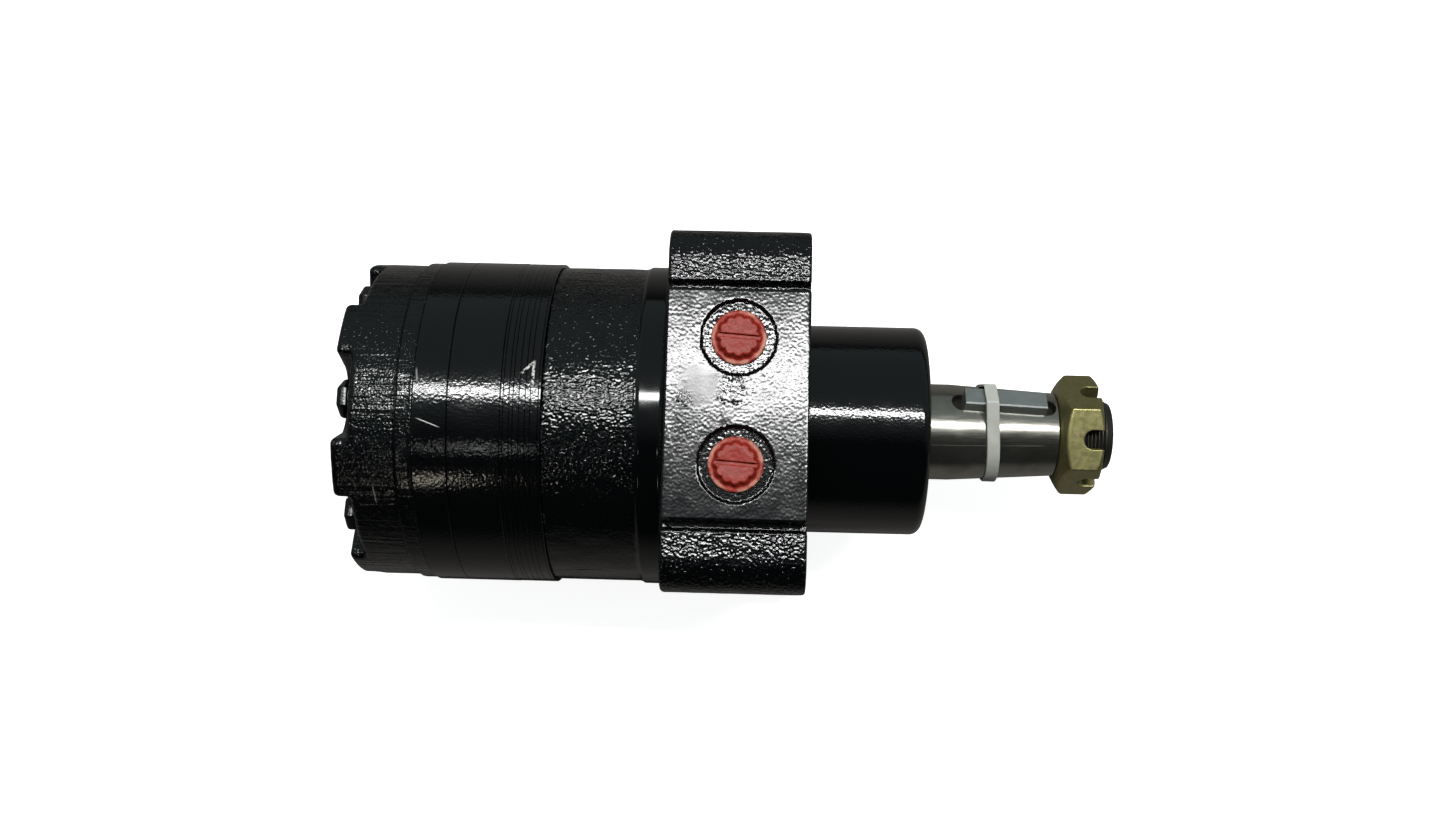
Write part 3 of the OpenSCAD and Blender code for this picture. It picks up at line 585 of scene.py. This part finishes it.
def slab(x, back, front):
    return np.maximum(back - x, x - front)


def both(a, b, edge):
    """Where two solids overlap, with the edge between them rounded."""
    corner = np.hypot(np.maximum(edge + a, 0), np.maximum(edge + b, 0))
    return np.minimum(-edge, np.maximum(a, b)) + corner


def either(a, b, fillet):
    """Two solids as one, with a fillet between them."""
    return -both(-a, -b, fillet)


def without(a, b, edge):
    """The first solid with the second cut away."""
    return both(a, -b, edge)


def rounded_box(u, v, half_u, half_v, corner):
    du, dv = np.abs(u) - half_u + corner, np.abs(v) - half_v + corner
    outside = np.hypot(np.maximum(du, 0), np.maximum(dv, 0))
    return outside + np.minimum(np.maximum(du, dv), 0) - corner


def cone(r, depth, radius, slope):
    """A cone that starts at radius and goes slope mm deeper for each mm outwards."""
    lean = math.atan(1 / slope)
    return (r - radius) * math.cos(lean) - depth * math.sin(lean)


def bumps(x, y, z, size, seed):
    """Smooth random bumps of about that size in mm, from -1 to 1."""
    count = 64
    heights = np.random.default_rng(seed).uniform(-1, 1, (count,) * 3).astype(np.float32)
    places = [np.asarray(v, np.float32) / size for v in (x, y, z)]
    cells = [np.floor(p).astype(int) for p in places]
    shares = [p - c for p, c in zip(places, cells)]
    shares = [s * s * (3 - 2 * s) for s in shares]
    total = 0
    for corner in np.ndindex(2, 2, 2):
        weight = 1
        for step, share in zip(corner, shares):
            weight = weight * (share if step else 1 - share)
        index = tuple((c + step) % count for c, step in zip(cells, corner))
        total = total + weight * heights[index]
    return total


def gradient(shape, points, reach=0.1):
    """Slope of a shape function at each point, along each axis."""
    rises = [shape(*(points + s).T) - shape(*(points - s).T) for s in reach * np.eye(3)]
    return np.stack(rises, 1) / (2 * reach)


def settle(shape, points, rounds=3, most=0.5):
    """Points moved onto the surface, and its normals there."""
    for _ in range(rounds):
        slope = gradient(shape, points)
        steep = np.maximum((slope ** 2).sum(1), 0.05)
        step = slope * (shape(*points.T) / steep)[:, None]
        length = np.maximum(np.linalg.norm(step, axis=1), 1e-9)
        points = points - step * np.minimum(1, most / length)[:, None]
    slope = gradient(shape, points)
    return points, slope / np.maximum(np.linalg.norm(slope, axis=1), 1e-6)[:, None]


def vertices_of(mesh):
    flat = np.empty(len(mesh.vertices) * 3, np.float32)
    mesh.vertices.foreach_get("co", flat)
    return flat.reshape(-1, 3).astype(float)


def thinned(mesh, share):
    """The mesh with that share of its faces."""
    holder = bpy.data.objects.new("thinning", mesh)
    bpy.context.scene.collection.objects.link(holder)
    holder.modifiers.new("thin", "DECIMATE").ratio = share
    graph = bpy.context.evaluated_depsgraph_get()
    made = bpy.data.meshes.new_from_object(holder.evaluated_get(graph), depsgraph=graph)
    bpy.data.objects.remove(holder)
    return made


def carved(name, shape, low, high, step, fine_shape=None, most_triangles=190_000):
    """A mesh of the surface of shape between two corners, finished on fine_shape."""
    fine_shape = fine_shape or shape
    axes = [np.arange(a - 3 * step, b + 4 * step, step, dtype=np.float32)
            for a, b in zip(low, high)]
    field = shape(*np.ix_(*axes))
    field = np.broadcast_to(field, [len(a) for a in axes])
    band = 3 * step
    grid = openvdb.FloatGrid(band)
    grid.copyFromArray(np.ascontiguousarray(np.clip(field, -band, band), dtype=np.float32))
    points, quads = grid.convertToQuads()
    mesh = bpy.data.meshes.new(name)
    mesh.from_pydata(points * step + [a[0] for a in axes], [], quads.tolist())
    if 2 * len(quads) > most_triangles:
        mesh = thinned(mesh, most_triangles / (2 * len(quads)))
        mesh.name = name
    points, normals = settle(fine_shape, vertices_of(mesh))
    mesh.vertices.foreach_set("co", (points * MM).astype(np.float32).ravel())
    mesh.update()
    face = mesh.polygons[len(mesh.polygons) // 2]
    if Vector(normals[face.vertices[0]]).dot(face.normal) < 0:
        mesh.flip_normals()
    mesh.polygons.foreach_set("use_smooth", [True] * len(mesh.polygons))
    mesh.normals_split_custom_set_from_vertices(normals.tolist())
    return mesh


def add_piece(mesh, material, body, slot, *nodes):
    """A finished mesh as a piece that stands for CAD nodes and moves with their body."""
    piece = bpy.data.objects.new(mesh.name, mesh)
    bpy.context.scene.collection.objects.link(piece)
    mesh.materials.clear()
    mesh.materials.append(material)
    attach(piece, body)
    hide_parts(*nodes)
    return piece


# Housing -----------------------------------------------------------------

HOUSING_BACK, NOSE_END = span("housing")[0][0], span("housing")[1][0]
PAD_Z = span("housing")[1][2]
FLANGE_BACK = -52.0
NECK_BACK = -62.0
PILOT_R = 41.275
BARREL_R = 62.3
NECK_R = 63.1
DISC_R = 64.4
LUG_AT = 152.4 / 2 / math.sqrt(2)    # along Y and along Z, on a 152.4 mm circle
LUG_R, FAR_LUG_R = 12.6, 10.5
LUG_OUT, FAR_LUG_OUT = LUG_AT + LUG_R, LUG_AT + FAR_LUG_R
CAST_SHIFT = 1.0                     # the lug block sits this far off the shaft axis, towards -Y
LUG_HOLE_R = 6.75
SIDE_FLAT = 60.0                     # the side recesses are cut down to this far from the axis
SIDE_RUN = (37.5, 44.5)              # and slope up to the lugs between these distances across
PAD_HALF = 41.8
GROOVE_W = 2.7
GROOVE_Z = 62.5                      # floor of the grooves beside the pad
PORT_AT = (-25.7, 22.7)              # X, and distance from the middle along Y
SPOTFACE_R = 13.5
SPOTFACE_Z = PAD_Z - 1.2
PORT_R = 8.75
PORT_DEPTH = 19.0
SKIN_SUNK = 0.1                      # cast skin is sunk by this much, to stay in the solid's space
BORES = (                            # radius, and from where to where along X
    (34.6, HOUSING_BACK - 20, -8),
    (30.0, HOUSING_BACK - 20, 24),
    (22.6, HOUSING_BACK - 20, 31),
    (27.0, 30, NOSE_END + 20),
)


def side_recess(out, across, lug_out):
    """Shallow recess between two lugs, out from the axis and across it."""
    rise = lug_out - SIDE_FLAT
    run = SIDE_RUN[1] - SIDE_RUN[0]
    slope = ((across - SIDE_RUN[0]) * rise - (out - SIDE_FLAT) * run) / np.hypot(rise, run)
    return both(SIDE_FLAT - out, slope, 4.0)


def flange_outline(y, z):
    """The flange seen along X: four lugs, three side recesses, and the pad between two grooves."""
    side, height = np.abs(y), np.abs(z)
    near_block = rounded_box(y, z, LUG_OUT, LUG_OUT, LUG_R)
    far_block = rounded_box(y, z, FAR_LUG_OUT, FAR_LUG_OUT, FAR_LUG_R)
    block = np.where(z > 0, near_block, far_block)
    block = without(block, side_recess(side, height, np.where(z > 0, LUG_OUT, FAR_LUG_OUT)), 3.0)
    block = without(block, side_recess(-z, side, FAR_LUG_OUT), 3.0)
    groove = rounded_box(side - PAD_HALF - GROOVE_W / 2, z - GROOVE_Z - 10, GROOVE_W / 2, 10, 0.6)
    block = without(block, groove, 1.2)
    pad = rounded_box(y, z - PAD_Z / 2, PAD_HALF, PAD_Z / 2, 0.8)
    return np.minimum(block, pad)


def housing_outside(x, y, z):
    """Barrel, neck, flange, the disc in front of the neck, and the nose."""
    r = np.hypot(y, z)
    flange = both(flange_outline(y + CAST_SHIFT, z), slab(x, FLANGE_BACK, 0), 1.3)
    disc = both(r - DISC_R, slab(x, FLANGE_BACK, -1), 1.0)
    barrel = both(r - BARREL_R, slab(x, HOUSING_BACK, FLANGE_BACK + 4), 0.4)
    neck = both(r - NECK_R, slab(x, NECK_BACK, FLANGE_BACK + 4), 0.9)
    nose = both(r - PILOT_R, slab(x, -10, NOSE_END), 4.0)
    body = either(either(barrel, neck, 0.8), flange, 2.2)
    return either(either(body, disc, 1.0), nose, 0.35)


def housing_bore(x, r):
    """The stepped bore for the bearings, the shaft and the nose seals."""
    bore = np.inf
    for radius, back, front in BORES:
        bore = np.minimum(bore, np.maximum(r - radius, slab(x, back, front)))
    return bore


def from_port(x, y):
    """Distance from the axis of the nearer port."""
    return np.hypot(x - PORT_AT[0], np.abs(y) - PORT_AT[1])


def ports(x, y, z):
    """The two ports: a recess for a seal and a tapped hole in each."""
    r = from_port(x, y)
    recess = both(r - SPOTFACE_R, SPOTFACE_Z - z, 0.5)
    tapped = np.maximum(r - PORT_R, SPOTFACE_Z - PORT_DEPTH - z)
    return np.minimum(recess, tapped)


def housing_shape(x, y, z):
    shape = housing_outside(x, y, z)
    shape = without(shape, housing_bore(x, np.hypot(y, z)), 0.8)
    lug_holes = np.hypot(np.abs(y) - LUG_AT, np.abs(z) - LUG_AT) - LUG_HOLE_R
    shape = without(shape, lug_holes, 0.6)
    return without(shape, ports(x, y, z), 0.6)


def cast_depth(x, y, z):
    """How rough the casting is: 1 on the barrel and lugs, less on the pad, 0 where turned."""
    r = np.hypot(y, z)
    barrel = (x < NECK_BACK - 1) & (x > HOUSING_BACK + 0.6)
    flange = (x > FLANGE_BACK) & (x < -0.6) & (r > 45)
    pad = flange & (np.abs(y + CAST_SHIFT) < PAD_HALF - 1) & (z > PAD_Z - 3)
    recess = flange & (from_port(x, y) < SPOTFACE_R + 0.4) & (z > 40)
    return np.where(recess, 0.0, np.where(pad, 0.35, np.where(barrel | flange, 1.0, 0.0)))


def housing_cast(x, y, z):
    """The housing with the skin of its casting."""
    skin = 0.05 * bumps(x, y, z, 1.9, 1) + 0.10 * bumps(x, y, z, 5.0, 2)
    return housing_shape(x, y, z) - cast_depth(x, y, z) * (skin - SKIN_SUNK)


def add_housing():
    low, high = span("housing")
    mesh = carved("housing_casting", housing_shape, low, high, 0.75, housing_cast)
    add_piece(mesh, cast_paint(), "motor_body", "cast_paint", "housing")


# End cover ---------------------------------------------------------------

COVER_BACK, COVER_FRONT = span("end_cover")[0][0], span("end_cover")[1][0]
COVER_R = 62.0
LIP_R = 63.0
LIP_BACK = COVER_FRONT - 6.4
POCKETS = 7
POCKET_FLOOR = COVER_BACK + 6.1
POCKET_IN = 42.3                     # the pockets reach this close to the axis
POCKET_WALLS = ((11.2, 46.0, 19), (15.8, 59.5, 48))   # half width, how far out, opening in degrees
REAR_RECESS_R = 24.0
REAR_RECESS_DEPTH = 1.2
BOLT_CIRCLE_R = 51.0


def folded(y, z):
    """Where a point is beside the nearest of the seven bolts: across, and out from the axis."""
    r = np.hypot(y, z)
    angle = np.arctan2(y, z)
    pitch = 2 * math.pi / POCKETS
    angle = angle - pitch * np.round(angle / pitch)
    return r * np.sin(angle), r * np.cos(angle)


def pocket(x, y, z):
    """One bolt pocket: it widens outwards and flares at its mouth."""
    across, out = folded(y, z)
    sides = np.inf
    for half, place, opening in POCKET_WALLS:
        lean = math.radians(opening)
        wall = (np.abs(across) - half) * math.cos(lean) - (out - place) * math.sin(lean)
        sides = np.minimum(sides, wall)
    plan = both(sides, POCKET_IN - out, 4.5)
    return both(plan, x - POCKET_FLOOR, 1.6)


def cover_shape(x, y, z):
    """A drum with a lip at its front, seven pockets, and a shallow recess in its rear."""
    r = np.hypot(y, z)
    drum = both(r - COVER_R, slab(x, COVER_BACK, LIP_BACK + 2), 2.5)
    lip = both(r - LIP_R, slab(x, LIP_BACK, COVER_FRONT), 0.6)
    shape = either(drum, lip, 0.6)
    shape = without(shape, pocket(x, y, z), 2.4)
    recess = both(r - REAR_RECESS_R, x - COVER_BACK - REAR_RECESS_DEPTH, 0.6)
    return without(shape, recess, 0.5)


def cover_cast(x, y, z):
    """The cover with its cast skin and the fine lines along its side."""
    skin = 0.035 * bumps(x, y, z, 1.8, 3) + 0.06 * bumps(x, y, z, 5.0, 4)
    lines = 0.035 * bumps(x / 14, y, z, 1.3, 5)
    front = np.clip((COVER_FRONT - 0.6 - x) / 0.6, 0, 1)
    return cover_shape(x, y, z) - front * (skin + lines - SKIN_SUNK)


def add_cover():
    low, high = span("end_cover")
    mesh = carved("end_cover_casting", cover_shape, low, high, 0.6, cover_cast, 150_000)
    add_piece(mesh, cover_paint(), "motor_body", "cast_paint", "end_cover")


# Fasteners ---------------------------------------------------------------

def hexagon(u, v, flats):
    """Distance to a hexagon with flats on the sides, where one flat faces +v."""
    side, up = np.abs(u), np.abs(v)
    lean = math.radians(60)
    return both(up - flats / 2, side * math.sin(lean) + up * math.cos(lean) - flats / 2, 0.35)


BOLT_AF = 12.7
BOLT_CHAMFER_R = 6.9
BOLT_CHAMFER = 0.5                   # angle of the chamfer's side to the shaft axis, in radians
BOLT_FACE_R = 6.25
BOLT_R = 3.97
BOLT_REACH = 7.6                     # half the width of the box that one bolt is carved in


def bolt_shape(x, y, z):
    """The cover bolt at +Z, with its washer face."""
    low, high = span("cover_bolts")
    floor = POCKET_FLOOR
    out = z - BOLT_CIRCLE_R
    r = np.hypot(y, out)
    head = both(hexagon(y, out, BOLT_AF), slab(x, low[0], floor - 0.4), 2.0)
    chamfer = (r - BOLT_CHAMFER_R) * math.cos(BOLT_CHAMFER) - (x - low[0]) * math.sin(BOLT_CHAMFER)
    head = both(head, chamfer, 0.3)
    washer = both(r - BOLT_FACE_R, slab(x, floor - 0.8, floor), 0.15)
    shank = both(r - BOLT_R, slab(x, floor - 1, high[0]), 0.4)
    return np.minimum(np.minimum(head, washer), shank)


def add_bolts():
    """One bolt, turned round the axis into all seven."""
    low, high = span("cover_bolts")
    near = (low[0], -BOLT_REACH, BOLT_CIRCLE_R - BOLT_REACH)
    far = (high[0], BOLT_REACH, BOLT_CIRCLE_R + BOLT_REACH)
    one = carved("cover_bolt", bolt_shape, near, far, 0.4)
    points = vertices_of(one)
    normals = np.array([n.vector for n in one.corner_normals])
    faces = [tuple(p.vertices) for p in one.polygons]
    all_points, all_faces, all_normals = [], [], []
    for i in range(POCKETS):
        turn = np.array(Matrix.Rotation(-2 * math.pi * i / POCKETS, 3, "X"))
        all_faces += [tuple(v + i * len(points) for v in f) for f in faces]
        all_points.append(points @ turn.T)
        all_normals.append(normals @ turn.T)
    mesh = bpy.data.meshes.new("cover_bolt_set")
    mesh.from_pydata(np.concatenate(all_points), [], all_faces)
    mesh.polygons.foreach_set("use_smooth", [True] * len(mesh.polygons))
    mesh.normals_split_custom_set(np.concatenate(all_normals).tolist())
    bpy.data.meshes.remove(one)
    add_piece(mesh, bolt_paint(), "motor_body", "bolt_paint", "cover_bolts")


NUT_BACK, NUT_FRONT = span("slotted_nut")[0][0], span("slotted_nut")[1][0]
NUT_AF = 41.3
NUT_SEAT_R = 17.0                    # the flat ring on its back reaches out to here
NUT_FRONT_SLOPE = 0.61               # depth of the chamfers for each mm of radius
NUT_BACK_SLOPE = 0.55
NUT_ANGLE = math.radians(-12.7)
NUT_SLOT_W = 7.4
NUT_SLOT_DEPTH = 8.1
THREAD_R = 14.3


def nut_shape(x, y, z):
    """The slotted nut: a hexagon with a chamfer at each end and three slots across its front."""
    r = np.hypot(y, z)
    up = z * math.cos(NUT_ANGLE) + y * math.sin(NUT_ANGLE)
    across = y * math.cos(NUT_ANGLE) - z * math.sin(NUT_ANGLE)
    front = cone(r, NUT_FRONT - x, NUT_AF / 2, NUT_FRONT_SLOPE)
    back = cone(r, x - NUT_BACK, NUT_SEAT_R, NUT_BACK_SLOPE)
    shape = both(hexagon(across, up, NUT_AF), slab(x, NUT_BACK, NUT_FRONT), 0.3)
    shape = both(both(shape, front, 0.9), back, 0.9)
    for i in range(3):
        turn = math.radians(60 * i)
        line = across * math.cos(turn) + up * math.sin(turn)
        below = np.minimum(x - NUT_FRONT + NUT_SLOT_DEPTH - NUT_SLOT_W / 2, 0)
        shape = without(shape, np.hypot(below, line) - NUT_SLOT_W / 2, 0.35)
    return without(shape, r - THREAD_R - 0.08, 0.8)


def add_nut():
    low, high = span("slotted_nut")
    mesh = carved("slotted_hub_nut", nut_shape, low, high, 0.3, most_triangles=120_000)
    add_piece(mesh, zinc_gold(), "shaft", "zinc_gold", "slotted_nut")


# Port plugs --------------------------------------------------------------

PLUG_FLANGE_R = 9.9
PLUG_FLANGE_H = 1.7
PLUG_HEAD_R = 6.8
PLUG_HEAD_H = 2.7
PLUG_SHANK = 10.0
PLUG_DRAFT = (0.93, 0.37)            # cosine and sine of the lean of the head's wall
PLUG_DISH_R = 22.35                  # the face is dished by a ball of this radius
PLUG_DISH_RISE = 22.0                # whose centre is this far above it
PLUG_SLOT_HALF_W = 0.7
PLUG_SLOT_DEPTH = 1.5
PLUG_SLOT_TURN = math.radians(-4)
PLUG_BORE_R = 6.2
FLUTES = 12
FLUTE_DEPTH = 0.75


def plug_shape(x, y, z):
    """One plug on its own axis, with z = 0 on the seat."""
    r = np.hypot(x, y)
    angle = np.arctan2(y, x)
    top = PLUG_FLANGE_H + PLUG_HEAD_H
    flange = both(r - PLUG_FLANGE_R, slab(z, 0, PLUG_FLANGE_H), 0.8)
    wave = FLUTE_DEPTH * np.abs(np.cos(angle * FLUTES / 2)) - 0.3
    wall = (r - PLUG_HEAD_R - wave) * PLUG_DRAFT[0] + (z - top) * PLUG_DRAFT[1]
    head = both(wall, slab(z, 0.5, top), 0.45)
    shank = both(r - PORT_R + 0.15, slab(z, -PLUG_SHANK, 1), 0.8)
    shape = np.minimum(either(flange, head, 0.6), shank)
    dish = np.hypot(r, z - top - PLUG_DISH_RISE) - PLUG_DISH_R
    shape = without(shape, np.maximum(dish, r - PLUG_HEAD_R + 1.0), 0.3)
    across = y * math.cos(PLUG_SLOT_TURN) - x * math.sin(PLUG_SLOT_TURN)
    slot = both(np.abs(across) - PLUG_SLOT_HALF_W, top - PLUG_SLOT_DEPTH - z, 0.2)
    shape = without(shape, slot, 0.3)
    hollow = np.maximum(r - PLUG_BORE_R, z + 1)
    return without(shape, hollow, 0.4)


def add_plugs():
    reach = PLUG_FLANGE_R
    one = carved("port_plug", plug_shape, (-reach, -reach, -PLUG_SHANK),
                 (reach, reach, PLUG_FLANGE_H + PLUG_HEAD_H), 0.28)
    material = plug_plastic()
    for side, node in ((1, "port_plug_a"), (-1, "port_plug_b")):
        mesh = one.copy()
        mesh.name = node + "_moulded"
        seat = Vector((PORT_AT[0], side * PORT_AT[1], SPOTFACE_Z))
        mesh.transform(Matrix.Translation(seat * MM))
        add_piece(mesh, material, "motor_body", "red_plastic", node)
    bpy.data.meshes.remove(one)


# Tie round the shaft and key ----------------------------------------------

KEY_ANGLE = math.radians(31.5)
KEY_HALF_W = 3.97
TIE_W = 4.9
TIE_T = 1.1
TIE_LEAN = 0.065                     # mm along X for each mm down the picture
TIE_R = 18.28                        # inside of the band where it lies on the shaft
TIE_KEY_TOP = TIE_R + 5.2            # how far out it is held by the key's corners
TIE_STEPS = 300
TIE_EDGE = 0.35
LOCK_ANGLE = math.radians(200)
LOCK_HALF_L, LOCK_HALF_W, LOCK_H = 3.7, 3.2, 4.6
STRAP_END = 6.5
STRAP_Z = 2.3


def leaning(x, y, z):
    """The place along X of a point of the band, which leans towards the nut at its low side."""
    turn = KEY_ANGLE + VIEW_TILT
    return x - TIE_LEAN * (z * math.sin(turn) + y * math.cos(turn))


def tie_section():
    """The section of the band as (across, height) points, with rounded edges."""
    points = []
    for start, side, top in ((0, 1, True), (90, -1, True), (180, -1, False), (270, 1, False)):
        height = TIE_T - TIE_EDGE if top else TIE_EDGE
        middle = np.array([side * (TIE_W / 2 - TIE_EDGE), height])
        for angle in np.radians(start + np.array([0, 30, 60, 90])):
            points.append(middle + TIE_EDGE * np.array([math.cos(angle), math.sin(angle)]))
    return points


def tie_band(centre_x):
    """Points and faces of the band, with the key at +Z."""
    section = tie_section()
    around = len(section)
    corners = [np.array([side * KEY_HALF_W, TIE_KEY_TOP]) for side in (-1, 1)]
    points = []
    for t in np.linspace(0, 2 * math.pi, TIE_STEPS, endpoint=False):
        out = np.array([math.sin(t), math.cos(t)])
        held = max([TIE_R * out, *corners], key=lambda p: p @ out)
        for across, height in section:
            y, z = held + height * out
            points.append((leaning(centre_x + across, y, z), y, z))
    faces = []
    for i in range(TIE_STEPS):
        a, b = i * around, ((i + 1) % TIE_STEPS) * around
        for j in range(around):
            k = (j + 1) % around
            faces.append((a + j, a + k, b + k, b + j))
    return points, faces


def tie_head_shape(x, y, z):
    """The lock of the tie on its own axes, Z outwards, with the cut end of the strap in it."""
    block = both(rounded_box(x, y, LOCK_HALF_L, LOCK_HALF_W, 0.9), slab(z, 0, LOCK_H), 0.6)
    window = both(rounded_box(x, z - STRAP_Z, TIE_W / 2 + 0.3, 1.0, 0.2), -y - 0.5, 0.1)
    strap = rounded_box(x, z - STRAP_Z, TIE_W / 2, TIE_T / 2, 0.3)
    strap = both(strap, slab(y, -2, STRAP_END), 0.3)
    return np.minimum(without(block, window, 0.3), strap)


def add_tie():
    low, high = span("key_tie")
    centre_x = (low[0] + high[0]) / 2
    band, faces = tie_band(centre_x)
    turn = np.array(Matrix.Rotation(-KEY_ANGLE, 3, "X"))
    points = np.array(band) @ turn.T
    head = carved("tie_head", tie_head_shape, (-LOCK_HALF_L, -LOCK_HALF_W, 0),
                  (LOCK_HALF_L, STRAP_END, LOCK_H), 0.2)
    place = np.array(Matrix.Rotation(-LOCK_ANGLE, 3, "X"))
    head_points = (vertices_of(head) / MM + [centre_x + 0.6, 0, TIE_R + 0.5]) @ place.T
    faces += [tuple(v + len(points) for v in p.vertices) for p in head.polygons]
    mesh = bpy.data.meshes.new("key_tie_strap")
    mesh.from_pydata(np.concatenate([points, head_points]) * MM, [], faces)
    mesh.polygons.foreach_set("use_smooth", [True] * len(mesh.polygons))
    bpy.data.meshes.remove(head)
    add_piece(mesh, tie_nylon(), "shaft", "tie_plastic", "key_tie")


# CAD nodes that stay ------------------------------------------------------

def dress_cad():
    """A procedural material for every CAD node that stays in view."""
    by_slot = {
        "shaft_steel": shaft_steel(),
        "key_steel": key_steel(),
        "rubber": rubber(),
        "bearing_steel": plain_steel("bearing_steel", (0.42, 0.42, 0.43), (0.58, 0.58, 0.59)),
        "dark_steel": plain_steel("dark_steel", (0.16, 0.16, 0.17), (0.26, 0.26, 0.27)),
        "gloss_paint": ring_paint(),
    }
    plates = plate_paint()
    slots = {part["node"]: part["material_slot"] for part in frame["record"]["subparts"]}
    for name, node in NODES.items():
        if node.hide_render:
            continue
        material = plates if name.startswith("manifold_plate") else by_slot[slots[name]]
        for i in range(len(node.material_slots)):
            node.material_slots[i].material = material


bpy.context.scene.view_settings.view_transform = "Standard"
add_camera()
add_studio()
add_floor()
add_housing()
add_cover()
add_bolts()
add_nut()
add_plugs()
add_tie()
dress_cad()
